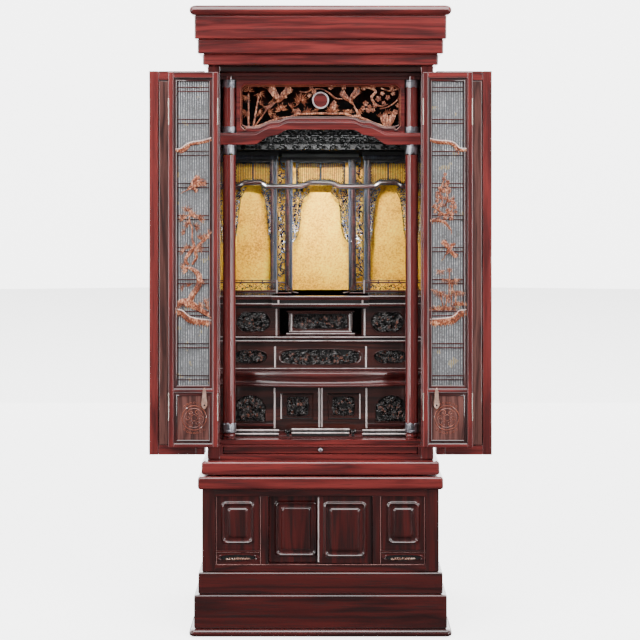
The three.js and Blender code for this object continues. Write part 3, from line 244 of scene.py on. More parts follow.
# A round turned shape about an upright line: pairs of (radius, z), smooth round its girth
def turned(shell, profile, x, y, mark=0, sides=40, axis="z"):
    profile = np.asarray(profile, float)
    angle = roundAngles(sides)
    radius = np.maximum(profile[:, 0], 0.02)[:, None]
    across = radius * np.cos(angle)
    deep = radius * np.sin(angle)
    along = np.repeat(profile[:, 1][:, None], sides, 1)
    if axis == "z":
        loops = np.stack([x + across, y + deep, along], -1)
    elif axis == "x":
        loops = np.stack([along, y + across, x + deep], -1)
    else:
        loops = np.stack([x + across, along, y + deep], -1)
    loft(shell, loops, mark)


# A smooth line through points, Catmull-Rom, with as many stations as asked
def smoothLine(points, stations):
    points = np.asarray(points, float)
    padded = np.concatenate([2 * points[:1] - points[1:2], points, 2 * points[-1:] - points[-2:-1]])
    t = np.linspace(0, len(points) - 1, stations)
    low = np.minimum(t.astype(int), len(points) - 2)
    share = (t - low)[:, None]
    a, b, c, d = (padded[low + k] for k in range(4))
    return 0.5 * (2 * b + (c - a) * share + (2 * a - 5 * b + 4 * c - d) * share ** 2
                  + (3 * b - 3 * c + d - a) * share ** 3)


# Even angles once round, and the points of a unit circle at them
def roundAngles(count):
    return np.linspace(0, 2 * math.pi, count, endpoint=False)


def circleOf(count):
    angle = roundAngles(count)
    return np.stack([np.cos(angle), np.sin(angle)], -1)


# Two distances from the middle plane, as places on one side of it in rising order
def flip(side, a, b):
    return sorted((side * a, side * b))


# A closed outline walked in even steps
def evenly(outline, count):
    closed = np.concatenate([outline, outline[:1]])
    step = np.concatenate([[0], np.cumsum(np.linalg.norm(np.diff(closed, axis=0), axis=1))])
    t = np.linspace(0, step[-1], count, endpoint=False)
    return np.stack([np.interp(t, step, closed[:, 0]), np.interp(t, step, closed[:, 1])], -1)


roundSection = circleOf(8)
leafSection = np.array([[-1, 0], [-0.55, 0.75], [0, 0.4], [0.55, 0.75], [1, 0], [0, -0.5]])


# A section carried along a line in x and z: across its width, and out towards the front
def sweep(shell, line, widths, depths, y, section=roundSection, mark=0):
    line = np.asarray(line, float)
    count = len(line)
    along = np.gradient(line, axis=0)
    along /= np.maximum(np.linalg.norm(along, axis=1, keepdims=True), 1e-9)
    across = np.stack([-along[:, 1], along[:, 0]], -1)
    widths = np.broadcast_to(np.asarray(widths, float), count)
    depths = np.broadcast_to(np.asarray(depths, float), count)
    flat = line[:, None] + across[:, None] * (section[None, :, 0] * widths[:, None])[..., None]
    out = np.asarray(y, float).reshape(-1, 1) - section[None, :, 1] * depths[:, None]
    out = np.broadcast_to(out, flat.shape[:2])
    loft(shell, np.stack([flat[..., 0], out, flat[..., 1]], -1), mark)


# A stem: a round section that swells and thins as told at the given points
def stem(shell, points, widths, y, depth=0.8, stations=14, mark=0):
    line = smoothLine(points, stations)
    width = np.interp(np.linspace(0, 1, stations), np.linspace(0, 1, len(widths)), widths) / 2
    sweep(shell, line, width, width * depth, y, roundSection, mark)


# A leaf: half width rises and falls as a sine along it, with a crease down the middle
def leaf(shell, x, z, length, width, angle, y, rise=0.35, bend=0.15, stations=6, mark=0):
    t = np.linspace(0, 1, stations)
    side = bend * length * np.sin(math.pi * t) * 0.5
    c, s = math.cos(angle), math.sin(angle)
    line = np.stack([x + c * length * t - s * side, z + s * length * t + c * side], -1)
    half = width / 2 * np.maximum(np.sin(math.pi * np.minimum(1, 0.06 + 0.94 * t)) ** 0.75, 0.06)
    sweep(shell, line, half, half * 2 * rise, y - half * rise * 0.3, leafSection, mark)


# A blossom: petals round a small dome
def blossom(shell, x, z, size, y, turn=0.3, petals=5, mark=0):
    for petal in range(petals):
        angle = turn + petal * 2 * math.pi / petals
        leaf(shell, x + 0.12 * size * math.cos(angle), z + 0.12 * size * math.sin(angle), size * 0.42,
             size * 0.42, angle, y, rise=0.3, bend=0, stations=5, mark=mark)
    dome = np.array([[0.13, 0], [0.12, -0.09], [0.06, -0.14], [0, -0.15]]) * size + [0, y]
    turned(shell, dome, x, z, mark, 8, "y")


# A scroll: a spiral stem that thins towards its eye
def scroll(shell, x, z, size, turn, hand, y, width=None, mark=0, stations=13):
    t = np.linspace(0, 1, stations)
    angle = turn + hand * t * 1.5 * 2 * math.pi * 0.75
    radius = size * (1 - 0.78 * t)
    line = np.stack([x + radius * np.cos(angle), z + radius * np.sin(angle)], -1)
    width = size * 0.34 if width is None else width
    half = width / 2 * (0.55 + 0.45 * np.sin(math.pi * (0.15 + 0.85 * t)))
    sweep(shell, line, half, half * 1.1, y, roundSection[::2] if size < 5 else roundSection, mark)


# One shader socket. The operators add Math nodes, and numbers alone are worked out in Python.
class Wire:
    def __init__(self, finish, socket):
        self.finish = finish
        self.socket = socket

    def maths(self, operation, first, second=None):
        inputs = {0: first} if second is None else {0: first, 1: second}
        return self.finish.add("ShaderNodeMath", {"operation": operation}, inputs)

    def __add__(self, other):
        return self.maths("ADD", self, other)

    def __sub__(self, other):
        return self.maths("SUBTRACT", self, other)

    def __rsub__(self, other):
        return self.maths("SUBTRACT", other, self)

    def __mul__(self, other):
        return self.maths("MULTIPLY", self, other)

    __radd__ = __add__
    __rmul__ = __mul__

    def wave(self):
        return self.maths("SINE", self)

    def power(self, exponent):
        return self.maths("POWER", self, exponent)

    def above(self, edge, softness):
        settings = {"interpolation_type": "SMOOTHSTEP", "clamp": True}
        return self.finish.add("ShaderNodeMapRange", settings,
                               {0: self, 1: edge - softness, 2: edge + softness})


# A material with a Principled shader; what stays the same all over is set on its own sockets
class Finish:
    def __init__(self, name, **settings):
        self.material = bpy.data.materials.new(name)
        self.material.use_nodes = True
        self.tree = self.material.node_tree
        self.shader = self.tree.nodes["Principled BSDF"]
        for socket, value in settings.items():
            self.shader.inputs[socket.replace("_", " ")].default_value = value

    # Any node: its type, its settings (stops fill a colour ramp), its inputs and the output wanted
    def add(self, kind, settings=None, inputs=None, output=0):
        node = self.tree.nodes.new(kind)
        for key, value in (settings or {}).items():
            if key == "stops":
                ramp = node.color_ramp
                while len(ramp.elements) < len(value):
                    ramp.elements.new(0.5)
                for element, (place, colour) in zip(ramp.elements, value):
                    element.position = place
                    element.color = colour
            else:
                setattr(node, key, value)
        for key, value in (inputs or {}).items():
            self.feed(node.inputs[key], value)
        return Wire(self, node.outputs[output])

    def feed(self, socket, value):
        if isinstance(value, Wire):
            self.tree.links.new(value.socket, socket)
        else:
            socket.default_value = value

    def drive(self, **inputs):
        for key, value in inputs.items():
            self.feed(self.shader.inputs[key.replace("_", " ")], value)

    # Object coordinates in metres, stretched by the three scales
    def place(self, scale=(1, 1, 1), shift=(0, 0, 0)):
        coordinates = self.add("ShaderNodeTexCoord", output=3)
        return self.add("ShaderNodeMapping", {}, {"Vector": coordinates, "Scale": scale, "Location": shift})

    def noise(self, where, scale, detail=3, roughness=0.5, distortion=0):
        inputs = {"Vector": where, "Scale": scale, "Detail": detail, "Roughness": roughness,
                  "Distortion": distortion}
        return self.add("ShaderNodeTexNoise", {}, inputs)

    def mix(self, factor, first, second):
        return self.add("ShaderNodeMix", {"data_type": "RGBA"}, {0: factor, 6: first, 7: second}, output=2)

    def ramp(self, factor, places, colours):
        stops = [(place, linear(colour)) for place, colour in zip(places, colours)]
        return self.add("ShaderNodeValToRGB", {"stops": stops}, {0: factor})

    def bump(self, height, strength, distance):
        return self.add("ShaderNodeBump", {}, {"Height": height, "Strength": strength, "Distance": distance})


# A screen colour out of 255 as light: divided by 12.92 when dark, else raised to the power 2.4
def linear(colour):
    share = [c / 255 for c in colour]
    return [c / 12.92 if c <= 0.04045 else ((c + 0.055) / 1.055) ** 2.4 for c in share] + [1]


# Rosewood: growth lines drawn out along the grain by a wandering noise, dark pores, a lacquer coat.
# The three colours run from the dark lines to the light wood.
def makeRosewood(name, grain, colours, figure=1.0, shift=0.0, polish=0.05):
    finish = Finish(name, Coat_Weight=1.0, Coat_Roughness=polish, Coat_IOR=1.65, Specular_IOR_Level=0.3)
    long, cross = 1.3, 17.0
    scale = {"x": (long, cross, cross), "y": (cross, long, cross), "z": (cross, cross, long)}[grain]
    where = finish.place(scale, shift=(shift, shift * 1.7, shift * 0.6))
    wander = finish.noise(where, 1.1, 3, 0.55, 0.4)
    lines = (wander * (30 * figure) + finish.noise(where, 7, 2) * 2.2).wave() * 0.5 + 0.5
    fineScale = {"x": (4, 160, 160), "y": (160, 4, 160), "z": (160, 160, 4)}[grain]
    fine = finish.place(fineScale)
    pores = finish.noise(fine, 3.2, 2, 0.6).above(0.6, 0.05)
    streak = finish.noise(finish.place(tuple(s * 0.16 for s in fineScale)), 2.2, 3, 0.6)
    tone = lines.power(0.7) * 0.38 + streak * 0.62
    base = finish.ramp(tone, (0.2, 0.5, 0.86), colours)
    pored = finish.mix(pores * 0.55, base, [c * 0.35 for c in linear(colours[0])[:3]] + [1])
    finish.drive(Base_Color=pored, Roughness=0.26 + streak * 0.12 + pores * 0.2,
                 Normal=finish.bump(pores * -1 + streak * 0.1, 0.05, 0.0003))
    return finish.material


# Carved wood: cloudy tone; fine random specks, dark and pale, painted as the shade and glints of fine
# carving; tool marks in the surface
def makeCarvedWood(name, colours, coat, roughness, gloss=0.5):
    finish = Finish(name, Coat_Weight=coat, Coat_Roughness=0.07, Specular_IOR_Level=gloss)
    where = finish.place((1, 1, 0.7))
    cloud = finish.noise(where, 60, 3, 0.6)
    speckReliefAndPaintedShadeGlint = finish.noise(where, 252, 2, 0.6)
    tools = finish.noise(where, 540, 2)
    # the specks paint dark shade and pale glints into the colour, and also raise the bump
    base = finish.ramp(cloud * 0.4 + speckReliefAndPaintedShadeGlint * 0.6, (0.36, 0.5, 0.64), colours)
    finish.drive(Base_Color=base, Roughness=roughness + cloud * 0.15,
                 Normal=finish.bump(speckReliefAndPaintedShadeGlint + tools * 0.4, 0.5, 0.0012))
    return finish.material


# Gold leaf: small leaves laid edge to edge with faint overlaps, a fine grain and slow clouds
def makeGoldLeaf():
    finish = Finish("goldLeaf", Metallic=0.25, Coat_Weight=0.1, Coat_Roughness=0.3)
    where = finish.place()
    cloud = finish.noise(where, 9, 4, 0.6)
    speckle = finish.noise(where, 420, 3, 0.7)
    cells = finish.add("ShaderNodeTexVoronoi", {"distance": "CHEBYCHEV"},
                       {"Vector": where, "Scale": 9.5, "Randomness": 0.18})
    flecks = finish.noise(where, 190, 2, 0.6)
    tone = cloud * 0.3 + flecks * 0.35 + speckle * 0.3 + cells * 0.05
    base = finish.ramp(tone, (0.38, 0.49, 0.6), ((190, 118, 18), (247, 182, 30), (255, 220, 62)))
    finish.drive(Base_Color=base, Roughness=0.36 + speckle * 0.25, Normal=finish.bump(speckle, 0.25, 0.0004))
    return finish.material


# Gauze: a fine weave of pale threads with a faint gold motif
def makeGauze():
    finish = Finish("gauzeCloth", Roughness=0.75, Sheen_Weight=0.3)
    where = finish.place()
    warp = finish.add("ShaderNodeTexWave", {"bands_direction": "X"}, {"Vector": where, "Scale": 190})
    weft = finish.add("ShaderNodeTexWave", {"bands_direction": "Z"}, {"Vector": where, "Scale": 190})
    weave = warp * 0.5 + weft * 0.5
    motif = finish.noise(where, 34, 2, 0.5).above(0.66, 0.02)
    base = finish.mix(weave, linear((70, 72, 76)), linear((140, 142, 146)))
    gold = finish.mix(motif * 0.75, base, linear((190, 165, 105)))
    finish.drive(Base_Color=gold, Normal=finish.bump(weave, 0.2, 0.0003))
    return finish.material


# Satin metal with fine turning lines and a little tarnish
def makeMetal(name, colours, roughness):
    finish = Finish(name, Metallic=1.0)
    where = finish.place((1, 1, 6))
    brushed = finish.noise(where, 260, 3, 0.6)
    tarnish = finish.noise(finish.place(), 60, 4, 0.6)
    base = finish.ramp(tarnish, (0.3, 0.6), colours)
    finish.drive(Base_Color=base, Roughness=roughness + brushed * 0.16,
                 Normal=finish.bump(brushed, 0.08, 0.0003))
    return finish.material


# Wood tones out of 255: the dark lines, the middle and the light
red = ((56, 15, 16), (100, 31, 30), (132, 48, 45))
deep = ((26, 7, 7), (56, 14, 13), (82, 23, 21))
night = ((20, 9, 8), (48, 21, 18), (76, 36, 30))
redX = makeRosewood("rosewoodLevel", "x", red, 1.2)
redZ = makeRosewood("rosewoodUpright", "z", red, 0.8, 0.3)
deepX = makeRosewood("deepRosewoodLevel", "x", deep, 1.0, 0.7)
deepZ = makeRosewood("deepRosewoodUpright", "z", deep, 1.1, 1.1)
nightX = makeRosewood("nightRosewoodLevel", "x", night, 0.9, 1.6)
nightZ = makeRosewood("nightRosewoodUpright", "z", night, 0.9, 2.1)
glossX = makeRosewood("glossRosewoodLevel", "x", ((34, 11, 11), (66, 23, 22), (92, 34, 31)), 0.8, 0.4)
shelfX = makeRosewood("shelfRosewood", "x", ((40, 13, 13), (76, 26, 25), (104, 40, 37)), 0.7, 0.9, 0.26)
panelZ = makeRosewood("panelRosewood", "z", ((50, 26, 24), (92, 54, 49), (126, 80, 72)), 1.6, 2.7)
edgeWood = makeRosewood("edgeWood", "x", ((84, 34, 24), (128, 60, 42), (170, 92, 66)), 0.4)
# Pale wood painted as highlight lines on the lower case's frame and along the vents' tops
paintedHighlightLineWood = makeRosewood("paintedHighlightLineWood", "z", ((96, 56, 54), (138, 94, 90), (176, 134, 128)), 0.6)
# Pale wood painted as highlights: the white lines on rods, lips and the sliding doors' meeting edge
paintedHighlightWood = makeRosewood("paintedHighlightRosewood", "z", ((130, 108, 106), (186, 170, 168), (226, 216, 214)), 0.5)
rodGrey = makeRosewood("rodGreyWood", "z", ((18, 18, 22), (36, 38, 46), (70, 76, 90)), 0.5)
beamGrey = makeRosewood("beamGreyWood", "x", ((36, 38, 38), (60, 64, 64), (96, 100, 98)), 0.5)
carved = makeCarvedWood("carvedWood", ((52, 20, 11), (140, 68, 38), (236, 172, 132)), 0.35, 0.34)
carvedDark = makeCarvedWood("carvedDarkWood", ((4, 4, 5), (9, 8, 8), (96, 90, 88)), 1.0, 0.16, 0.2)
carvedWarm = makeCarvedWood("carvedWarmWood", ((14, 7, 5), (56, 27, 19), (150, 88, 66)), 0.9, 0.2)
carvedPale = makeCarvedWood("carvedPaleWood", ((92, 50, 38), (176, 128, 108), (240, 214, 196)), 0.6, 0.3)
# Pale wood painted as highlight lines along the door carvings' rails and ground lips
paintedEdgeHighlight = makeCarvedWood("paintedEdgeHighlightWood", ((196, 150, 138), (232, 206, 198), (250, 240, 236)), 0.6, 0.25)
moonRing = makeCarvedWood("moonRing", ((150, 132, 132), (206, 196, 196), (240, 236, 236)), 0.8, 0.2)
# Pale grey for the door slats: partly their own tone, partly a painted highlight
paleSlatAndHighlightWood = makeCarvedWood("paleSlatAndHighlightWood", ((96, 94, 94), (150, 150, 152), (206, 206, 208)), 0.7, 0.3)
canopyWood = makeCarvedWood("canopyWood", ((2, 3, 3), (5, 6, 6), (14, 15, 14)), 0.35, 0.4, 0.1)
# Near-black: the colour of some dark parts, and painted shade in cell floors, recesses, gaps, the pull's
# hole, behind the screen's columns, on the back board above the beam and on the canopy's back
pitch = makeCarvedWood("nearBlackAndPaintedShadeWood", ((2, 2, 2), (4, 4, 4), (8, 8, 8)), 0.1, 0.5)
gold = makeGoldLeaf()
gauze = makeGauze()
capMetal = makeMetal("capSilver", ((110, 110, 116), (176, 176, 184)), 0.3)
pullMetal = makeMetal("pullCopper", ((190, 140, 118), (235, 200, 184)), 0.32)
hingeMetal = makeMetal("hingeBrass", ((196, 186, 172), (240, 236, 226)), 0.28)
print("finishes made")


# A node's lowest and highest corners in millimetres
def boxOf(node):
    low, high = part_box(node)
    return [c / millimetre for c in low], [c / millimetre for c in high]


# Rings of one band of a moulding: its lower and upper edge on quarter circles of the radius
def bandRings(z, height, out, radius, corner=4, steps=4):
    turn = np.linspace(0, math.pi / 2, steps + 1)
    low = [(z + radius * (1 - math.cos(a)), out - radius * (1 - math.sin(a)), corner) for a in turn]
    high = [(z + height - radius * (1 - math.cos(a)), out - radius * (1 - math.sin(a)), corner) for a in turn]
    return low + high[::-1]


# A stack of bands as one block, grown at the front and both sides, its front corners rounded
def bandedBlock(shell, rings, halfWidth, front, back, mark=0):
    turn = np.linspace(0, math.pi / 2, 6)
    loops = []
    for z, out, corner in rings:
        side = halfWidth + out
        near = front - out
        c, s = corner * np.cos(turn), corner * np.sin(turn)
        left = np.stack([corner - side - c, near + corner - s], -1)
        right = np.stack([side - corner + s, near + corner - c], -1)
        outline = np.concatenate([left, right, [[side, back], [-side, back]]])
        loops.append(np.concatenate([outline, np.full((len(outline), 1), z)], 1))
    loft(shell, loops, mark)


plinth = {"halfWidth": 301.4, "front": -243, "back": 275, "hollow": (0, 136), "wall": 22,
          "bands": [(0, 18, 31.6, 8.9), (18, 86, 19.4, 5), (104, 55.2, 9.3, 5)]}
cornice = {"halfWidth": 300, "front": -243, "back": 275,
           "bands": [(1449.9, 28, 0, 3.5), (1477.9, 37, 12.3, 3.5), (1514.9, 60, 19.8, 3.5),
                     (1574.9, 25, 32.3, 12)]}
boards = {"topBand": (369.3, 32.7, 10.5, 7), "baseBand": (405, 34.6, 13, 7), "upperHalfWidth": 290,
          "baseFront": -232, "footInset": 30, "footLow": 402.3}


# The plinth's skin goes up the bands, over the top, and back down inside a hollow open below
def hollowPlinth(shell, rings, sizes):
    block = Shell()
    bandedBlock(block, rings, sizes["halfWidth"], sizes["front"], sizes["back"])
    skin = block.points[0] / millimetre
    count = len(skin) // len(rings)
    loops = skin.reshape(len(rings), count, 3)
    low, high = sizes["hollow"]
    wall = sizes["wall"]
    inner = loops[0].copy()
    inner[:, 0] = np.clip(inner[:, 0], -sizes["halfWidth"] + wall, sizes["halfWidth"] - wall)
    inner[:, 1] = np.clip(inner[:, 1], sizes["front"] + wall, sizes["back"] - wall)
    roof, foot = inner.copy(), inner.copy()
    roof[:, 2] = high
    foot[:, 2] = low
    loft(shell, np.concatenate([[roof], [foot], loops]))


# Plinth, cornice and the two boards between: each a stack of bands out of one outline
def makeOuterMouldings():
    for name, sizes, material in (("base_plinth", plinth, deepX), ("cornice", cornice, redX)):
        rings = []
        for z, height, out, radius in sizes["bands"]:
            rings += bandRings(z, height, out, radius, 11 if radius > 8 else 4)
        shell = Shell()
        if name == "base_plinth":
            hollowPlinth(shell, rings, sizes)
        else:
            bandedBlock(shell, rings, sizes["halfWidth"], sizes["front"], sizes["back"])
        finishPiece(name + "_moulded", shell, material, "cabinet", [name])
    shell = Shell()
    bandedBlock(shell, bandRings(*boards["topBand"]), plinth["halfWidth"], plinth["front"], plinth["back"])
    finishPiece("lower_top_board_moulded", shell, redX, "cabinet", ["lower_top_board"])
    shell = Shell()
    half = boards["upperHalfWidth"]
    bandedBlock(shell, bandRings(*boards["baseBand"]), half, boards["baseFront"], plinth["back"])
    inset = boards["footInset"]
    roundBox(shell, inset - half, half - inset, -205, 245, boards["footLow"], 406, 0.5)
    finishPiece("upper_base_board_moulded", shell, redX, "cabinet", ["upper_base_board"])


lower = {"half": 301.4, "front": -243, "frame": 36, "back": 275, "low": 159.8, "high": 369, "stile": 34,
         "railLow": 177.8, "railHigh": 351, "slideHalf": 132.5, "mullion": 22, "ventTop": 208.8,
         "panelLow": 212.8,
         "wall": 18}


# Lower case: end boards, a front frame of stiles and rails, back, floor and roof boards
def makeLowerCase():
    s = lower
    shell = Shell()
    behind = s["front"] + s["frame"]
    inner = s["half"] - s["stile"]
    mullionOut = s["slideHalf"] + s["mullion"]
    for side in (-1, 1):
        roundBox(shell, *flip(side, s["half"] - s["wall"], s["half"]), behind, s["back"], s["low"],
                 s["high"], 1)
        roundBox(shell, *flip(side, inner, s["half"]), s["front"], behind, s["low"], s["high"], 2.2)
        roundBox(shell, *flip(side, s["slideHalf"], mullionOut), s["front"], behind,
                 s["railLow"] - 1, s["railHigh"] + 1, 1.8)
        roundBox(shell, *flip(side, mullionOut - 1, inner + 1), s["front"] + 1, behind,
                 s["ventTop"], s["panelLow"], 1.2, 1)
    roundBox(shell, -inner - 1, inner + 1, s["front"] + 0.4, behind, s["railHigh"], s["high"], 1.6, 1)
    roundBox(shell, -inner - 1, inner + 1, s["front"] + 0.4, behind, s["low"], s["railLow"], 1.6, 1)
    inside = s["half"] - s["wall"]
    roundBox(shell, -inside, inside, s["back"] - s["wall"], s["back"], s["low"], s["high"], 1, 2)
    roundBox(shell, -inside, inside, behind, s["back"] - s["wall"], s["low"], s["low"] + s["wall"], 1, 3)
    roundBox(shell, -inside, inside, behind, s["back"] - s["wall"], s["high"] - s["wall"], s["high"], 1, 3)
    finishPiece("lower_case_framed", shell, [deepZ, deepX, nightZ, nightX], "cabinet",
                ["lower_case"])


panelRings = [(0, 0.3, 4.6), (0.8, 0.5, 4), (13.5, 11, 4.2), (15, 11, 3.2), (16.5, 10.5, 1.4), (18, 10, 0.5),
              (19.5, 9.5, 0.2), (21, 9, 0.9), (22.3, 8.5, 2.6), (23.4, 8, 4.6), (25, 7.5, 5.4), (30, 6, 5.2),
              (31.5, 6, 4.2), (33, 5.5, 2.4), (35, 5, 1.6), (37.5, 4.5, 1.3), (40, 4, 1.2)]


# Panels and sliding doors: a field raised on rings of rounded rectangles, and thin pale lines on the frame,
# painted highlights
def makeLowerFronts():
    for node, body in (("lower_panel_left", "cabinet"), ("lower_panel_right", "cabinet"),
                       ("sliding_door_left", "sliding_left"), ("sliding_door_right", "sliding_right")):
        shell = Shell()
        fieldedBoard(shell, boxOf(node), panelRings)
        if node == "sliding_door_right":  # the polished edge where the doors meet
            # The pale strip along the polished edge is a painted highlight
            (x0, y0, z0), (x1, y1, z1) = boxOf(node)
            roundBox(shell, x0, x0 + 3.4, y0 + 2.8, y0 + 8, z0 + 3, z1 - 3, 1.2, 1)
        finishPiece(node + "_fielded", shell, [deepZ, paintedHighlightWood], body, [node], 30)
    shell = Shell()
    foot = boxOf("lower_vent_left")[0][2]
    face = lower["front"] - 0.3
    roundBox(shell, -264, 264, face, face + 3, foot - 1.9, foot - 0.1, 0.8, 0)
    for along in (-265, -153, 153, 265):
        roundBox(shell, along - 0.7, along + 0.7, face, face + 3, foot, 350, 0.5, 0)
    finishPiece("lower_case_highlight_lines", shell, paintedHighlightLineWood, "cabinet", (), 30)


# How far an outline reaches from its centre at each angle, as a round of points sorted by angle
def reachOf(outline, centre, angles):
    offset = np.asarray(outline, float) - centre
    turn = np.arctan2(offset[:, 1], offset[:, 0])
    order = np.argsort(turn)
    return np.interp(angles, turn[order], np.linalg.norm(offset, axis=1)[order], period=2 * math.pi)


# A board with one sunk opening: loops run from the back edge over the rim of the opening to its floor.
# The rim's rings are (share of the opening's reach, depth). Marks: 0 for the board, 1 for the floor, which
# callers give a near-black finish as painted shade.
def cellBoard(shell, x0, x1, y0, y1, z0, z1, outline, centre, rim):
    corners = [math.atan2(z - centre[1], x - centre[0]) for x in (x0, x1) for z in (z0, z1)]
    angles = np.sort(np.concatenate([np.linspace(-math.pi, math.pi, 112, endpoint=False), corners]))
    c, s = np.cos(angles), np.sin(angles)
    toX = np.where(c > 0, (x1 - centre[0]) / np.maximum(c, 1e-9), (x0 - centre[0]) / np.minimum(c, -1e-9))
    toZ = np.where(s > 0, (z1 - centre[1]) / np.maximum(s, 1e-9), (z0 - centre[1]) / np.minimum(s, -1e-9))
    edge = np.minimum(toX, toZ)
    opening = reachOf(outline, centre, angles)
    loop = lambda reach, y: upright(np.stack([centre[0] + reach * c, centre[1] + reach * s], -1), y)
    loops = [loop(edge, y1), loop(edge, y0)] + [loop(opening * share, y0 + depth) for share, depth in rim]
    loft(shell, loops, 0, caps=False)
    closeLoop(shell, loops[-1], 1)
    closeLoop(shell, loops[0], 0)


# A long cartouche: a superellipse whose edge swells into lobes
def cartouche(x, z, width, height, power=2.6, lobes=0, swell=0.0, count=120):
    angle = roundAngles(count)
    c, s = np.cos(angle), np.sin(angle)
    reach = (np.abs(c / (width / 2)) ** power + np.abs(s / (height / 2)) ** power) ** (-1 / power)
    reach = reach * (1 + swell * np.cos(lobes * angle))
    return np.stack([x + reach * c, z + reach * s], -1)


# A niche with a level foot and a cusped arch above it
def niche(x, z, width, height, count=120):
    half = width / 2
    side = np.array([[1, -0.9], [1, 0.12], [0.96, 0.3], [0.84, 0.42], [0.82, 0.6], [0.6, 0.74], [0.42, 0.92],
                     [0.2, 0.96]])
    shape = np.concatenate([[[-0.98, -1], [0.98, -1]], side, [[0, 1]], side[::-1] * [-1, 1]])
    closed = np.concatenate([shape, shape[:1]])
    t = np.linspace(0, len(shape), count, endpoint=False)
    low = t.astype(int)
    share = (t - low)[:, None]
    line = closed[low] * (1 - share) + closed[low + 1] * share
    return np.stack([x + line[:, 0] * half, z + line[:, 1] * height / 2], -1)


# Openwork of scrolls, leaves and blossoms spread evenly in an outline, the same at every run
def foliage(shell, outline, centre, y, seed, count, size, mark=0, bloom=0.12):
    random = np.random.default_rng(seed)
    outline = np.asarray(outline, float)
    low, high = outline.min(0), outline.max(0)
    spots = random.uniform(low, high, (count * 3, 2))
    offset = spots - centre
    reach = reachOf(outline, centre, np.arctan2(offset[:, 1], offset[:, 0]))
    spots = spots[np.linalg.norm(offset, axis=1) < reach - size * 0.32][:count]
    for x, z in spots:
        kind, grow, turn, lift = random.uniform(0, 1, 4)
        wide = size * (0.65 + 0.5 * grow)
        deep = y - 1.6 * lift
        if kind < bloom:
            blossom(shell, x, z, wide * 1.1, deep - 1, turn * 6, mark=mark)
        elif kind < 0.55:
            scroll(shell, x, z, wide * 0.42, turn * 6.3, 1 if lift > 0.5 else -1, deep, wide * 0.17, mark)
        else:
            aim = turn * 6.3
            back = wide * 0.45
            leaf(shell, x - back * math.cos(aim), z - back * math.sin(aim), wide * 0.9, wide * 0.28, aim,
                 deep,
                 mark=mark)


makeOuterMouldings()
makeLowerCase()
makeLowerFronts()
print("mouldings and lower fronts made")


vent = {"y0": -238, "y1": -230, "width": 88, "height": 15.5, "depth": 6}
ventRim = [(1.22, 0), (1.16, -0.9), (1.06, -1.1), (1.0, 0.3), (0.97, 6), (0.96, 6)]


# Vents: a board with a sunk cartouche, and a row of leaves crossing in pairs over its floor, painted
# near-black as shade
def makeVents():
    for side in ("left", "right"):
        node = "lower_vent_" + side
        (x0, y0, z0), (x1, y1, z1) = boxOf(node)
        x, z = (x0 + x1) / 2, (z0 + z1) / 2
        shell = Shell()
        outline = cartouche(x, z, vent["width"], vent["height"], 2.4, 6, 0.05)
        cellBoard(shell, x0, x1, vent["y0"], vent["y1"], z0, z1, outline, (x, z), ventRim)
        deep = vent["y0"] + vent["depth"] - 1
        stem(shell, [(x - 30, z - 3), (x - 14, z - 5), (x, z - 4), (x + 14, z - 5), (x + 30, z - 3)],
             [0.6, 1, 1.2, 1, 0.6], deep - 1.5, stations=20, mark=2)
        for k, along in enumerate(np.linspace(-24, 24, 9)):
            out = math.copysign(1, along + 0.1)
            lean = math.pi / 2 - out * (0.5 + 0.06 * abs(along) ** 0.5)
            leaf(shell, x + along, z - 4.5, 6.5, 2.6, lean, deep - 2.6, mark=2)
            leaf(shell, x + along + 2, z - 3, 5, 2, math.pi / 2 + out * 0.9 + 0.1 * (k % 2), deep - 2.4,
                 mark=2)
        for end in (-1, 1):
            leaf(shell, x + end * 20, z - 4, 13, 2.6, 0.12 if end > 0 else math.pi - 0.12, deep - 2.8, mark=2)
        # a pale line along the board's top: a painted highlight
        roundBox(shell, x0, x1, vent["y0"] - 1, vent["y0"] + 3, z1 - 1.8, z1, 0.8, 3)
        materials = [deepX, pitch, carvedPale, paintedHighlightLineWood]
        finishPiece(node + "_pierced", shell, materials, "cabinet", [node], 40)


# The open upper case: each board its own grain, dark inside
case = {"half": 290, "jamb": 258.5, "front": -205, "back": 275, "low": 439.9, "high": 1449.6, "floor": 486.5,
        "ceiling": 1435.6, "backWall": 20, "slotLow": 452, "slotHigh": 473.5, "trayHalf": 251,
        "threshold": 26,
        "jambDeep": 30}


def makeCase():
    s = case
    shell = Shell()
    mid = s["front"] + s["jambDeep"]
    for side in (-1, 1):
        roundBox(shell, *flip(side, s["jamb"], s["half"]), s["front"], mid, s["low"], s["high"], 2, 0)
        roundBox(shell, *flip(side, s["jamb"] + 0.6, s["half"]), mid - 1, s["back"], s["low"], s["high"],
                 1.2, 0)
        roundBox(shell, *flip(side, s["jamb"], s["jamb"] + 2), mid + 2, s["back"] - 2,
                 s["floor"] - 2, s["ceiling"] + 2, 0.4, 2)
    inner = s["jamb"] + 1
    roundBox(shell, -inner, inner, s["back"] - s["backWall"], s["back"] - 1, s["low"], s["high"], 1, 2)
    roundBox(shell, -inner, inner, s["front"] + 1, s["back"] - 2, s["ceiling"], s["high"], 2, 3)
    deep = s["front"] + s["threshold"]
    roundBox(shell, -inner, inner, deep, s["back"] - 2, s["slotHigh"], s["floor"], 2.2, 1)
    roundBox(shell, -inner, inner, s["front"] + 0.6, deep + 4, s["slotHigh"] - 2, s["slotHigh"], 0.8, 1)
    roundBox(shell, -inner, inner, s["front"] + 0.4, s["back"] - 2, s["low"], s["slotLow"], 1.6, 1)
    for side in (-1, 1):
        a, b = flip(side, s["trayHalf"], inner)
        roundBox(shell, a, b, s["front"] + 0.8, s["back"] - 4, s["slotLow"] - 1, s["slotHigh"] + 1, 0.8, 0)
    finishPiece("altar_case_boards", shell, [redZ, redX, nightZ, nightX], "cabinet",
                ["altar_case"])


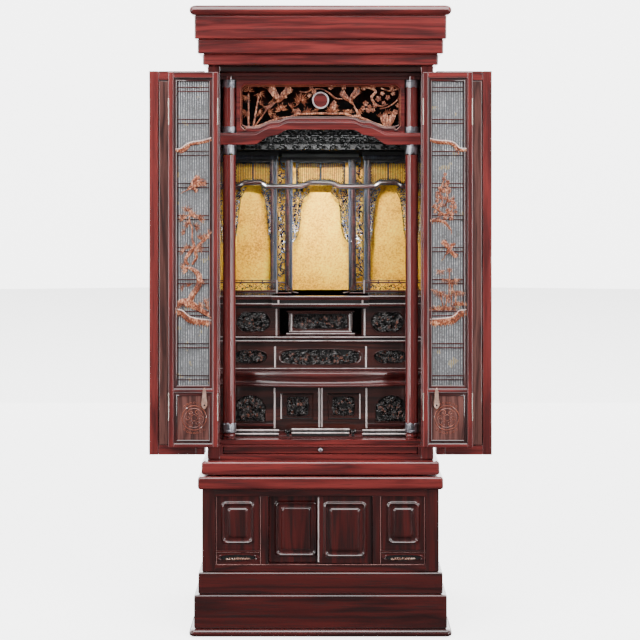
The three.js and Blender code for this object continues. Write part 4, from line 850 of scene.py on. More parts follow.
# Tray: a front, a back and two side boards round a thin bottom, and a turned knob
def makeTray():
    (x0, y0, z0), (x1, y1, z1) = boxOf("pull_out_tray")
    shell = Shell()
    roundBox(shell, x0, x1, y0, y0 + 20, z0, z1, 2, 0)
    roundBox(shell, x0, x1, y1 - 14, y1, z0, z1, 1.2, 0)
    for low, high in ((x0, x0 + 14), (x1 - 14, x1)):
        roundBox(shell, low, high, y0 + 10, y1 - 8, z0, z1, 1.2, 0)
    roundBox(shell, x0 + 10, x1 - 10, y0 + 10, y1 - 8, z0, z1 - 3, 0.6, 0)
    finishPiece("pull_out_tray_joined", shell, redX, "tray", ["pull_out_tray"])
    knob = Shell()
    (x0, y0, z0), (x1, y1, z1) = boxOf("tray_knob")
    ahead = ((0.1, 0), (5.2, 0), (5.2, 0.8), (3.1, 1.4), (2.5, 3), (2.7, 4.2), (4.6, 5.2), (5.8, 6.2),
             (5.9, 7),
             (5, 8.2), (3, 8.9), (0.1, y1 - y0))
    profile = [(radius, y1 - out) for radius, out in ahead]
    turned(knob, profile, 0, (z0 + z1) / 2, 0, 32, "y")
    finishPiece("tray_knob_turned", knob, capMetal, "tray", ["tray_knob"])


arch = {"foot": 172, "shoulder": 111, "half": 84, "rise": 31, "riseUnder": 39, "bottom": 1248.6,
        "height": 30, "front": -178, "back": -142, "reach": 258.2}


# Height of the arched rail's line above its level ends, at the places x
def archLift(x, rise):
    foot, shoulder, half = arch["foot"], arch["shoulder"], arch["half"]
    places = [0, half - 6, half + 2, half + 8, half + 14, shoulder - 8, shoulder - 2, shoulder, shoulder + 6,
              shoulder + 14, shoulder + 24, foot - 30, foot - 22, foot - 14, foot - 7, foot, 300]
    heights = [31, 31, 30.4, 28.8, 26.4, 23.4, 20.8, 20.2, 19.8, 18.8, 16.8, 13.6, 9.6, 5.2, 1.6, 0, 0]
    return np.interp(np.abs(x), places, heights) * rise / arch["rise"]


# Arched rail: a rounded section of (depth, share of the height) between two lifted lines
def makeArch():
    x = np.unique(np.concatenate([np.linspace(-arch["reach"], arch["reach"], 120), np.linspace(-80, 80, 7),
                                  -np.linspace(80, 180, 70), np.linspace(80, 180, 70)]))
    low = arch["bottom"] + archLift(x, arch["riseUnder"])
    high = arch["bottom"] + arch["height"] + archLift(x, arch["rise"])
    front, back = arch["front"], arch["back"]
    corners = [(front, 0), (front, 0.80), (front + 2.2, 0.84), (front + 2.6, 1), (back, 1), (back, 0)]
    section = rounded(corners, [5, 1.4, 1.2, 2.4, 2, 3], 4)
    loops = np.stack([np.repeat(x[:, None], len(section), 1), np.repeat(section[None, :, 0], len(x), 0),
                      low[:, None] + (high - low)[:, None] * section[None, :, 1]], -1)
    shell = Shell()
    loft(shell, loops)
    finishPiece("arched_rail_shaped", shell, redX, "cabinet", ["arched_rail"])


transom = {"front": -169, "back": -151, "half": 217.5, "openHalf": 206, "sill": 8, "notch": 11, "top": 1401.6,
           "high": 1435.3, "moon": (0, 1363.6, 20.4)}


# Outline of the transom's opening: the arch below, notched corners, level above
def transomOutline(shrink=0.0):
    half = transom["openHalf"] - shrink
    x = np.linspace(-half + transom["notch"], half - transom["notch"], 90)
    base = arch["bottom"] + arch["height"] + transom["sill"] + shrink
    lift = archLift(x * 1.03, arch["rise"]) + 6 * np.clip((np.abs(x) - 100) / 70, 0, 1) * (np.abs(x) < 195)
    lower = np.stack([x, base + lift + 0.5], -1)
    top = transom["top"] - shrink
    notch = transom["notch"]
    corner = np.array([(half, base + notch), (half, top - notch), (half - notch * 0.45, top - notch * 0.55),
                       (half - notch, top), (-half + notch, top), (-half + notch * 0.45, top - notch * 0.55),
                       (-half, top - notch), (-half, base + notch)])
    return np.concatenate([lower, corner])


# A bead along a closed outline
def beadAlong(shell, outline, y, width, depth, mark=0):
    line = evenly(outline, 260)
    along = np.roll(line, -1, 0) - np.roll(line, 1, 0)
    along /= np.linalg.norm(along, axis=1, keepdims=True)
    across = np.stack([-along[:, 1], along[:, 0]], -1)
    flat = line[:, None] + across[:, None] * (roundSection[None, :, :1] * width / 2)
    out = np.broadcast_to(y - roundSection[None, :, 1] * depth, flat.shape[:2])
    loops = np.stack([flat[..., 0], out, flat[..., 1]], -1)
    loops = np.concatenate([loops, loops[:1]])
    loft(shell, loops, mark, caps=False)


# The transom board: a skin between the opening and the outer edge, both as points in step
def makeTransom():
    inner = evenly(transomOutline(), 240)
    half, high = transom["half"], transom["high"]
    middle = transom["top"] - 50
    outer = np.stack([np.clip(inner[:, 0] * 1.075, -half, half), inner[:, 1]], -1)
    low = arch["bottom"] + arch["height"] + 0.6 + archLift(outer[:, 0], arch["rise"])
    sides = np.abs(inner[:, 0]) > transom["openHalf"] - 0.5
    outer[:, 1] = np.where(sides, inner[:, 1], np.where(inner[:, 1] > middle, high, low))
    outer[:, 0] = np.where(sides, np.sign(inner[:, 0]) * half, outer[:, 0])
    front, back = transom["front"], transom["back"]
    rim = transomOutlineSteps(inner)
    loops = [upright(outer, back), upright(outer, front)] + [upright(line, front + d) for line, d in rim]
    loops += [upright(rim[-1][0], back), upright(outer, back)]
    shell = Shell()
    loft(shell, loops, caps=False)
    for side in (-1, 1):
        roundBox(shell, *flip(side, half - 9.5, half), front + 0.1, back, arch["bottom"] + 30.6, high, 1.0)
    roundBox(shell, -half, half, front + 0.1, back, transom["top"] + 12, high, 1.0)
    finishPiece("transom_frame_moulded", shell, redX, "cabinet", ["transom_frame"])
    lintel = Shell()
    reach = case["jamb"] - 0.5
    roundBox(lintel, -reach, reach, -179.5, -168.8, 1425, 1435.4, 2.2)
    roundBox(lintel, -reach, reach, -175, -168.8, 1416, 1425.6, 2.2)
    finishPiece("lintel_moulding", lintel, deepX, "cabinet")


# The stepped moulding round the opening: the inner outline moved out by each width, at its depth
def transomOutlineSteps(inner):
    along = np.roll(inner, -1, 0) - np.roll(inner, 1, 0)
    along /= np.linalg.norm(along, axis=1, keepdims=True)
    out = np.stack([along[:, 1], -along[:, 0]], -1)
    if (out * (inner - inner.mean(0))).sum() < 0:
        out = -out
    steps = [(7, 0), (6.2, 1.4), (5, 1.5), (4.2, 0.2), (2.8, -0.6), (1.4, 0.2), (0.8, 2.6), (0, 3.2)]
    return [(inner + out * width, depth) for width, depth in steps]


posts = {"x": 236.5, "y": -160, "radius": 16.5, "foot": (486.8, 502.8), "capLow": (503.1, 529.1),
         "shaft": (529.4, 1222), "capHigh": (1222.3, 1248.3), "short": (1279, 1435.3), "scallops": 6}


# A metal cap: a round collar whose edge towards the shaft is cut in petals
def petalCap(shell, x, y, z0, z1, radius, up):
    sides = 96
    angle = roundAngles(sides)
    petal = np.abs(np.sin(angle * posts["scallops"] / 2 + math.pi / 4)) ** 0.6
    loops = []
    for share, grow in ((0, -1.5), (0.0, 0.2), (0.06, 1.2), (0.2, 1.35), (0.24, 0.7), (0.3, 1.3), (0.86, 1.3),
                        (0.97, 1.0), (1.0, 0.3), (1.0, -2)):
        reach = 1 - 0.2 * (1 - petal) * min(1, max(0, (share - 0.3) / 0.5))
        along = share * (z1 - z0) * reach
        z = z0 + along if up else z1 - along
        r = radius + grow - 0.5 * (1 - petal) * (share > 0.3)
        loops.append(np.stack([x + r * np.cos(angle), y + r * np.sin(angle), np.broadcast_to(z, sides)], -1))
    loft(shell, loops)


# Posts: a turned foot, a long and a short shaft, and caps whose petals point along the shaft
def makePosts():
    s = posts
    r = s["radius"]
    for side, name in ((-1, "left"), (1, "right")):
        x = side * s["x"]
        low, high = s["foot"]
        foot = Shell()
        girths = ((0.9, 0), (0.98, 1), (0.98, 2.4), (0.8, 3.4), (0.84, 5), (0.98, 7), (1, 9.4), (0.96, 12),
                  (0.8, 14.4), (0.86, high - low))
        turned(foot, [(r * share, low + up) for share, up in girths], x, s["y"])
        finishPiece("post_foot_turned_" + name, foot, redZ, "cabinet", ["post_foot_" + name], 30)
        for node, (z0, z1) in (("long_post_", s["shaft"]), ("short_post_", s["short"])):
            shaft = Shell()
            start = z0 - 3 * (node == "long_post_")
            turned(shaft, [(r - 0.8, start), (r, z0), (r, (z0 + z1) / 2), (r, z1 - 0.2)], x, s["y"], sides=64)
            finishPiece(node + "shaft_" + name, shaft, redZ, "cabinet", [node + name], 30)
        for node, (z0, z1), up in (("post_cap_low_", s["capLow"], True),
                                   ("post_cap_high_", s["capHigh"], False)):
            cap = Shell()
            petalCap(cap, x, s["y"], z0, z1, r, up)
            if node == "post_cap_high_":
                z0, z1 = s["short"]
                petalCap(cap, x, s["y"], z0 + 0.2, z0 + 17, r, True)
                petalCap(cap, x, s["y"], z1 - 40, z1 - 19, r, False)
            finishPiece(node + "petals_" + name, cap, capMetal, "cabinet", [node + name], 30)


makeVents()
makeCase()
makeTray()
makeArch()
makeTransom()
makePosts()
print("case, transom and posts made")


# Rim of a carved opening: (share of its reach, depth), with a raised lip and a floor painted near-black as
# shade
carvedRim = [(1.05, 0), (1.03, -1.0), (1.0, -1.1), (0.97, 0.4), (0.955, 2.2), (0.95, 9)]


# One carved cell of a step's front: the board, and openwork of two tones in its opening
def carvedCell(shell, x0, x1, y, z0, z1, outline, centre, seed, count=70, size=11, warm=0.3, thick=12):
    cellBoard(shell, x0, x1, y, y + thick, z0, z1, outline, centre, carvedRim)
    foliage(shell, outline, centre, y + 3.2, seed, int(count * 1.7), size, 2)
    inner = np.asarray(outline) * 0.8 + np.asarray(centre) * 0.2
    foliage(shell, inner, centre, y + 1.8, seed + 50, int(count * warm), size * 0.62, 3, 0.3)


# A round upright rod, eased in at both ends
def makeRod(shell, x, y, z0, z1, radius, mark):
    profile = [(radius * 0.7, z0), (radius, z0 + 1.2), (radius, z1 - 1.2), (radius * 0.7, z1)]
    turned(shell, profile, x, y, mark, 20)


# Step finishes: index 1 is near-black painted shade for cell floors, recesses and gaps; index 4 is pale wood
# painted as highlights on rods and lips
stepMaterials = [nightX, pitch, carvedDark, carvedWarm, paintedHighlightWood, glossX]
lowerStep = {"front": -65, "low": 486.8, "high": 612.2, "rod": 121.5, "rodRadius": 2.6, "centreRod": 3.6,
             "medallion": (61, 53, 60.5, 558), "frame": (18.5, 105.5, 524.5, 592),
             "niche": (84, 71, 187, 552.5)}


# Lower step: two framed medallions in the middle, an arched niche on each side, rods between, their pale wood
# a painted highlight
def makeLowerStep():
    s = lowerStep
    shell = Shell()
    reach = 258.2
    y, z0, z1 = s["front"], s["low"], s["high"]
    back = boxOf("lower_step")[1][1]
    roundBox(shell, -reach, reach, y + 11.5, back, z0, z1, 0.6, 0)
    wide, tall, cx, cz = s["medallion"]
    nWide, nTall, nx, nz = s["niche"]
    for side in (-1, 1):
        seed = 11 if side < 0 else 23
        outline = cartouche(side * cx, cz, wide, tall, 5.5, 8, 0.03)
        a, b = flip(side, 1.0, s["rod"])
        carvedCell(shell, a, b, y, z0, z1, outline, (side * cx, cz), seed, 60, 12)
        f0, f1, fz0, fz1 = s["frame"]
        a, b = flip(side, f0, f1)
        mitredFrame(shell, a, b, fz0, fz1, [(-1, 1), (0, -1.4), (1.2, -2.6), (2.6, -1.4), (3.4, 1)], y)
        mitredFrame(shell, a + 7, b - 7, fz0 + 6, fz1 - 5, [(-0.8, 1), (0, -0.8), (0.8, -0.8), (1.6, 1)], y)
        makeRod(shell, side * (f1 - 1.4), y - 1.6, fz0 + 0.6, fz1 - 0.6, 1.9, 4)
        outline = niche(side * nx, nz, nWide, nTall)
        a, b = flip(side, s["rod"], reach)
        carvedCell(shell, a, b, y, z0, z1, outline, (side * nx, nz), seed + 7, 110, 12, 0.4)
        roundBox(shell, a + 3, b - 1, y - 3.6, y + 1, 505.5, 513.5, 2.2, 5)
        makeRod(shell, side * s["rod"], y - 1.2, 500, 607, s["rodRadius"], 4)
        makeRod(shell, side * s["centreRod"], y - 1.2, 503, 607, 2.5, 4)
    roundBox(shell, -reach, reach, y - 2.4, y + 2, z0, 494, 2, 5)
    finishPiece("lower_step_carved", shell, stepMaterials, "cabinet", ["lower_step"], 34)


shelf = {"setBack": -57, "bow": 48, "low": 612.5, "high": 651.2, "reach": 258.2}


# Shelf: one section in depth and height carried along the bow, a parabola in x
def makeShelf():
    s = shelf
    back = boxOf("bowed_shelf")[1][1]
    top, low = s["high"], s["low"]
    corners = [(0.2, low), (-1.2, low + 5.5), (7, low + 8), (10.5, low + 13), (9, low + 21), (3.5, low + 26),
               (-1.4, top - 10), (-1.6, top), (60, top), (60, low)]
    section = rounded(corners, [1.2, 2.4, 2, 5, 5, 2, 5, 5.2, 0.5, 0.5], 5)
    x = np.linspace(-s["reach"], s["reach"], 90)
    out = s["bow"] * (1 - (x / s["reach"]) ** 2)
    front = s["setBack"] - out
    far = section[:, 0] > 40
    y = front[:, None] + section[None, :, 0]
    y = np.where(far[None], back, y) + 1.8
    loops = np.stack([np.repeat(x[:, None], len(section), 1), y, np.repeat(section[None, :, 1], len(x), 0)],
                     -1)
    shell = Shell()
    loft(shell, loops)
    finishPiece("bowed_shelf_moulded", shell, shelfX, "cabinet", ["bowed_shelf"], 30)


# Middle step: a long cartouche between two short ones, and the ledge of two lips over it; pale rods and lip
# strips are painted highlights
def makeMiddleSteps():
    shell = Shell()
    (x0, y0, z0), (x1, y1, z1) = boxOf("middle_step")
    y = y0 + 1
    roundBox(shell, x0, x1, y + 11.5, y1, z0, z1, 0.6, 0)
    rod = 121
    outline = cartouche(-1, 687, 213, 42, 4.2, 10, 0.02)
    carvedCell(shell, -rod, rod, y, z0, z1, outline, (-1, 687), 31, 120, 12, 0.45)
    for side in (-1, 1):
        outline = cartouche(side * 187.5, 687, 89, 36, 3, 8, 0.035)
        a, b = flip(side, rod, x1)
        carvedCell(shell, a, b, y, z0, z1, outline, (side * 187.5, 687), 40 + side, 60, 11, 0.4)
        makeRod(shell, side * rod, y - 0.9, 659, 715, 2.6, 4)
    roundBox(shell, x0, x1, y - 2.6, y + 2, z0, z0 + 6, 2.4, 5)
    paintedHighlightStrip(shell, x0, x1, y - 2.6, z0 + 6, 4, 1.8)
    finishPiece("middle_step_carved", shell, stepMaterials, "cabinet", ["middle_step"], 34)
    ledge = Shell()
    (x0, y0, z0), (x1, y1, z1) = boxOf("step_ledge")
    roundBox(ledge, x0, x1, y0 + 1, y1, z0, z0 + 6, 2.6, 0)
    # the set-back band between the ledge's lips is painted near-black as shade
    roundBox(ledge, x0, x1, y0 + 8, y1, z0 + 4, z1 - 2, 0.6, 1)
    roundBox(ledge, x0, x1, y0 + 4, y1, z1 - 4.8, z1, 2.2, 0)
    roundBox(ledge, -115, 115, y0 + 0.4, y0 + 30, z1 - 5.2, z1 - 0.1, 2.3, 0)
    paintedHighlightStrip(ledge, x0, x1, y0 + 1, z0 + 6, 2)
    paintedHighlightStrip(ledge, x0, x1, y0 + 4, z1, 2)
    paintedHighlightStrip(ledge, -115, 115, y0 + 0.4, z1 - 0.04, 2)
    finishPiece("step_ledge_moulded", ledge, [glossX, pitch, paintedHighlightWood], "cabinet", ["step_ledge"],
                30)


upperStep = {"recess": 110, "post": 118, "medallion": (89, 54, 180, 777), "recessBack": 95}


# Upper step: two carved fronts beside a recess whose back board is painted near-black as shade, with the
# pedestal standing in it; its pale rods and lip strips are painted highlights
def makeUpperStep():
    s = upperStep
    shell = Shell()
    (x0, y0, z0), (x1, y1, z1) = boxOf("upper_step")
    wide, tall, cx, cz = s["medallion"]
    for side in (-1, 1):
        a, b = flip(side, s["recess"], x1)
        roundBox(shell, a, b, y0 + 11.5, y1, z0, z1, 0.6, 0)
        outline = cartouche(side * cx, cz, wide, tall, 3.2, 8, 0.035)
        carvedCell(shell, a, b, y0 + 1, z0, z1, outline, (side * cx, cz), 60 + side, 80, 12, 0.35)
        makeRod(shell, side * s["post"], y0 + 1.8, z0, z1 - 2, 2.5, 4)
    roundBox(shell, -s["recess"], s["recess"], s["recessBack"], y1, z0, z1, 0.6, 1)
    finishPiece("upper_step_carved", shell, stepMaterials, "cabinet", ["upper_step"], 34)
    (x0, y0, z0), (x1, y1, z1) = boxOf("pedestal")
    stand = Shell()
    field = 76
    near = 7
    outline = cartouche(0, 777, 150, 41, 14)
    carvedCell(stand, -field, field, near, z0 + 9, z1 - 7, outline, (0, 777), 71, 110, 12, 0.5, 11)
    roundBox(stand, -field - 6, field + 6, near + 11, y1, z0 + 8, z1 - 6, 0.6, 0)
    for side in (-1, 1):
        makeRod(stand, side * 78.4, near + 1.4, z0 + 11, z1 - 8, 2.4, 4)
        makeRod(stand, side * 84, near + 7, z0 + 11, z1 - 8, 2.4, 0)
    roundBox(stand, x0, x1, y0, y1, z0, z0 + 5.4, 2.4, 5)
    roundBox(stand, x0 + 8, x1 - 8, y0 + 7, y1, z0 + 5, z0 + 11, 2.4, 5)
    paintedHighlightStrip(stand, x0, x1, y0, z0 + 5.4, 4)
    paintedHighlightStrip(stand, x0 + 8, x1 - 8, y0 + 7, z0 + 11, 4)
    roundBox(stand, x0 + 8, x1 - 8, y0 + 7, y1, z1 - 9, z1 - 5, 1.8, 0)
    roundBox(stand, x0 + 1, x1 - 1, y0 + 1, y1, z1 - 5, z1, 2, 0)
    finishPiece("pedestal_moulded", stand, stepMaterials, "cabinet", ["pedestal"], 34)


platform = {"half": 131, "forward": -39, "side": -24, "upper": (837.5, 848), "gap": (828, 838),
            "lower": (819.5, 828), "foot": (815.5, 820)}


# Platform: two lips with pale strips painted as highlights and a gap painted near-black as shade, first over
# the whole width, then further out in the middle; its pale rods are painted highlights too
def makePlatform():
    s = platform
    (x0, y0, z0), (x1, y1, z1) = boxOf("altar_platform")
    shell = Shell()
    for a, b, near in ((x0, x1, s["side"]), (-s["half"], s["half"], s["forward"])):
        low, high = s["upper"]
        roundBox(shell, a, b, near, y1, high - 5.6, high, 2.7, 0)
        roundBox(shell, a + 1, b - 1, near + 2.6, y1, low, high - 5, 1.6, 0)
        low, high = s["gap"]
        roundBox(shell, a + 3, b - 3, near + 12, y1, low, high, 0.6, 1)
        low, high = s["lower"]
        roundBox(shell, a + 1, b - 1, near + 1.4, y1, low, high - 0.2, 2.7, 0)
        paintedHighlightStrip(shell, a + 1, b - 1, near + 1.4, high - 0.2, 2)
        paintedHighlightStrip(shell, a, b, near, s["upper"][1], 2)
        low, high = s["foot"]
        roundBox(shell, a + 2, b - 2, near + 6, y1, low, high, 1.2, 1)
    for side in (-1, 1):
        makeRod(shell, side * 112, s["forward"] + 6, 827, 838, 2.2, 2)
    finishPiece("altar_platform_moulded", shell, [glossX, pitch, paintedHighlightWood], "cabinet",
                ["altar_platform"], 30)


railing = {"y": 57, "outer": -254.5, "post": -119, "field": (858, 877)}


# Railing: rails, a field of scrolls, a post, and a scrolled wing that curves down to the middle
def makeRailings():
    for side, name in ((-1, "left"), (1, "right")):
        shell = Shell(mirrored=side > 0)
        y = railing["y"]
        a, b = railing["outer"], railing["post"]
        low, high = railing["field"]
        roundBox(shell, a, b, y - 3.6, y + 3.6, 848.3, 852, 1.5, 1)
        roundBox(shell, a, b, y - 3, y + 3, 852, low, 1.6, 0)
        roundBox(shell, a, b, y - 3, y + 3, high, 881, 1.4, 0)
        roundBox(shell, a, b, y - 3.2, y + 3.2, 883.6, 886.3, 1.3, 0)
        for x in np.linspace(a + 12, b - 10, 5):
            roundBox(shell, x - 1.6, x + 1.6, y - 2, y + 2, 880, 884, 0.8, 1)
        for k, x in enumerate(np.linspace(a + 7, b - 9, 13)):
            scroll(shell, x, 868 + (3 if k % 2 else -3), 6.2, k * 2.1, 1 if k % 2 else -1, y - 1, 2.2, 1)
            leaf(shell, x + 4, 866, 9, 3.6, 0.9 + k * 1.3, y - 1.6, mark=1)
        roundBox(shell, b - 3, b + 3.2, y - 4.5, y + 4.5, 848.3, 886.3, 1.8, 0)
        # the pale rod beside the post is a painted highlight
        makeRod(shell, b + 0.4, y - 3.4, 850, 886, 2.2, 2)
        stem(shell,
             [(b + 4, 879), (b + 20, 879), (b + 27, 871), (b + 38, 862), (b + 44, 853.5), (b + 58, 851)],
             [3, 3.4, 3.4, 3.4, 3.4, 3], y, 0.9, 30, 0)
        roundBox(shell, b, b + 40, y - 3, y + 3, 848.4, 852.6, 1.6, 0)
        for k, (out, z) in enumerate(((10, 872), (19, 867), (12, 860), (26, 860), (34, 856))):
            scroll(shell, b + out, z, 6.4, k * 1.9, 1 if k % 2 else -1, y - 1, 2.4, 1)
        finishPiece("altar_railing_scrolled_" + name, shell, [glossX, carvedDark, paintedHighlightWood], "cabinet",
                    ["altar_railing_" + name], 34)


floorRail = {"y": -121, "low": 490, "high": 505}


# Floor rails: two round bars, pale as painted highlights, over a dark board, and turned knobs at the ends of
# the middle one
def makeFloorRails():
    for node, span in (("floor_rail_left", (-229, -109)), ("floor_rail_right", (109, 229)),
                       ("floor_rail_middle", (-76, 76))):
        shell = Shell()
        a, b = span
        lift = 2.4 if node.endswith("middle") else 0
        y = floorRail["y"]
        for z, r in ((floorRail["high"] - 2.2, 2.4), (floorRail["low"] + 3.2, 2.2)):
            ends = [(r * 0.6, a), (r, a + 1.4), (r, b - 1.4), (r * 0.6, b)]
            turned(shell, ends, z + lift, y - 1.6, 1, 18, "x")
        roundBox(shell, a + 1, b - 1, y - 1.4, y + 3, 487, 503 + lift, 1, 0)
        if node.endswith("middle"):
            for side in (-1, 1):
                along = [76, 78, 80, 83, 86, 88, 89, 90, 92, 95]
                radii = [5.5, 7.6, 6, 3.4, 5.8, 6.8, 5, 6.2, 6.6, 2]
                profile = [(r, side * x) for x, r in zip(along, radii)]
                turned(shell, profile, 499, y, 2, 24, "x")
                roundBox(shell, side * 85 - 4, side * 85 + 4, y - 3, y + 3, 486.9, 494, 1, 0)
        finishPiece(node + "_turned", shell, [pitch, paintedHighlightWood, carvedDark], "cabinet", [node], 34)


makeLowerStep()
makeShelf()
makeMiddleSteps()
makeUpperStep()
makePlatform()
makeRailings()
makeFloorRails()
print("steps, platform and rails made")


screen = {"y": 203, "back": 212,
          "columns": [(-140, -132, 0), (-131, -122, 4), (-96.5, -87, 0), (-85, -78, 4)],
          "beam": (1222, 1232, 108), "sideBeam": (1216, 1227), "rail": 1139.5, "railHeight": 11,
          "strip": (-119.8, -97.8),
          "windowHigh": 1205, "windowLow": 1149, "low": 848.3, "high": 1238.3}
sideBay = {"half": 47, "flat": 20, "slope": 41, "outer": 50, "slats": 20,
           "gold": [(20, 1134), (24, 1127), (34, 1107), (39, 1070), (44, 1030), (47, 1000), (50.5, 986)]}
middleBay = {"half": 63, "flat": 25, "slope": 56, "outer": 75.5, "slats": 24,
             "gold": [(27, 1134), (33, 1122), (50, 1106), (55, 1075), (59, 1030), (64, 1000), (77, 984)]}
bays = [{"centre": -189.5, **sideBay}, {"centre": 0, **middleBay}, {"centre": 189.5, **sideBay}]


# Height of the waved rail's middle: flat humps over the three bays
def waveLift(x):
    lift = np.zeros_like(x)
    for bay in bays:
        away = np.abs(x - bay["centre"])
        share = np.clip((bay["slope"] - away) / (bay["slope"] - bay["flat"]), 0, 1)
        lift = np.maximum(lift, 11 * share * share * (3 - 2 * share))
    return lift


# Screen posts: pairs of round-edged columns with an openwork strip between, under two beams
def makeScreenPosts(shell):
    s = screen
    y = s["y"]
    for side in (-1, 1):
        for a, b, mark in s["columns"]:
            low, high = flip(side, a, b)
            out = y - (3 if mark == 0 else 1.5)
            roundBox(shell, low, high, out, s["back"], s["low"], 1216, 2.2, mark)
        # near-black boards behind the gaps between columns: painted shade
        for edges in ((-140.5, -121.5), (-97.5, -78)):
            low, high = flip(side, edges[0], edges[1])
            roundBox(shell, low, high, y + 2, s["back"] - 1, s["low"], 1214, 1, 1)
        a, b = flip(side, s["strip"][0], s["strip"][1])
        middle = (a + b) / 2
        for x in (a + 0.6, b - 0.6):
            roundBox(shell, x - 1.2, x + 1.2, y, y + 5, s["low"], 1216, 0.8, 1)
        for k, z in enumerate(np.linspace(893, 1206, 25)):
            if abs(z - 1139) > 9:
                turn = side * (0.5 + 0.9 * (k % 3))
                hand = 1 if k % 2 else -1
                scroll(shell, middle + 4 * hand, z, 7.2, turn + k, hand, y + 1, 2.8, 2)
                leaf(shell, middle, z, 12, 4.8, turn + 0.7 * k, y + 0.6, mark=2)
                leaf(shell, middle, z - 5, 9, 4, math.pi - turn + 0.5 * k, y + 0.8, mark=2)
        line = [(middle + (5 if k % 2 else -5), z) for k, z in enumerate(np.linspace(888, 1128, 17))]
        stem(shell, line, [2.4], y + 2, 0.9, 70, 2)
        low, high = s["sideBeam"]
        a, b = flip(side, 118, 258.2)
        roundBox(shell, a, b, y - 4, s["back"], low, high, 2.4, 4)
        roundBox(shell, a, b, y, s["back"], high - 1, s["high"], 1, 1)
        roundBox(shell, a, b, y - 1, s["back"], low - 8, low, 1, 1)
    low, high, half = s["beam"]
    roundBox(shell, -half, half, y - 6, s["back"], low, high, 2.4, 5)
    roundBox(shell, -half - 6, half + 6, y, s["back"], low - 15, low + 1, 1, 1)


# A bay: window of thin slats over the waved rail, curls round it, and carved edges down both sides
def makeBay(shell, bay, seed):
    s = screen
    x, half, y = bay["centre"], bay["half"], s["y"]
    top, low = s["windowHigh"], s["windowLow"]
    limit = 258
    for side in (-1, 1):
        edge = x + side * (half + 6)
        a, b = sorted((max(-limit, min(limit, edge)), max(-limit, min(limit, x + side * (half + 1)))))
        roundBox(shell, a, b, y + 2, y + 8, low - 10, top + 8, 0.6, 1)
    roundBox(shell, max(x - half - 6, -limit), min(x + half + 6, limit), y + 2, y + 8, top, top + 8, 0.8, 1)
    roundBox(shell, x - 2.4, x + 2.4, y + 1, y + 8, low - 6, top + 2, 1, 1)
    slats = bay["slats"]
    for k in range(slats):
        sx = x - half + (k + 0.5) * 2 * half / slats
        if abs(sx - x) > 2.6:
            base = float(s["rail"] + waveLift(np.array([sx]))[0])
            roundBox(shell, sx - 0.8, sx + 0.8, y + 5, y + 8, base, top + 2, 0.5, 1)
    for k, t in enumerate(np.linspace(-1, 1, 19)):
        sx = x + t * (half + 1)
        if abs(sx) < limit - 4:
            scroll(shell, sx, top + 1.5, 3.6, k * 1.7, 1 if k % 2 else -1, y + 1.4, 1.6, 2, 9)
            base = float(s["rail"] + 9 + waveLift(np.array([sx]))[0])
            scroll(shell, sx, base, 3.8, k * 2.3, -1 if k % 2 else 1, y + 1.4, 1.7, 2, 9)
    for side in (-1, 1):
        for k, z in enumerate(np.linspace(low + 4, top - 5, 6)):
            sx = x + side * (half + 1.5)
            scroll(shell, sx, z, 3.8, k * 1.9, side, y + 1.4, 1.7, 2, 9)
        reach = np.array(bay["gold"], float)
        zs = np.linspace(984, 1133, 26)
        inner = np.interp(zs, reach[::-1, 1], reach[::-1, 0])
        line = np.stack([x + side * inner, zs + 1.5 * np.sin(zs * 0.45)], -1)
        stem(shell, line[::2], [2.2], y + 2, 0.9, 60, 2)
        random = np.random.default_rng(seed + side)
        for z, near in zip(zs, inner):
            room = max(bay["outer"] - near, 7)
            parts = 1 + int(room > 14) + int(room > 26)
            for part in range(parts):
                at = x + side * (near + 2 + room * (part + random.uniform(0.2, 0.7)) / parts)
                if abs(at) < limit - 5:
                    turn = random.uniform(0, 6.28)
                    scroll(shell, at, z, 5.4, turn, 1 if turn > 3 else -1, y + 1.6, 2.3, 2, 10)
                    leaf(shell, at, z + 2, 9.5, 4, turn * 1.3, y + 1.2, mark=2)
                    if part == 0 and int(z) % 3 == 0:
                        blossom(shell, at, z, 7, y + 0.6, turn, mark=2)


# Screen: posts, bays, a waved rail of one section along its humps, and the gold board behind
def makeScreen():
    s = screen
    shell = Shell()
    makeScreenPosts(shell)
    for k, bay in enumerate(bays):
        makeBay(shell, bay, 81 + k * 7)
    x = np.linspace(-258, 258, 240)
    line = np.stack([x, s["rail"] + waveLift(x)], -1)
    sweep(shell, line, s["railHeight"] / 2, 4.5, s["y"] - 1, mark=0)
    sweep(shell, line + [0, 6.4], 1.9, 2.4, s["y"] - 4, mark=1)
    sweep(shell, line - [0, 5.4], 1.7, 2.4, s["y"] - 3.4, mark=1)
    materials = [nightX, pitch, carvedDark, carvedWarm, rodGrey, beamGrey]
    finishPiece("shrine_screen_carved", shell, materials, "cabinet", ["shrine_screen"], 34)
    (x0, y0, z0), (x1, y1, z1) = boxOf("gold_back_board")
    board = Shell()
    roundBox(board, x0, x1, y0, y1, z0, s["beam"][0] + 2, 1, 0)
    # above the beam the board is painted near-black as shade
    roundBox(board, x0, x1, y0, y1, s["beam"][0] + 2.2, z1, 1, 1)
    finishPiece("gold_back_board_leafed", board, [gold, pitch], "cabinet", ["gold_back_board"],
                30)


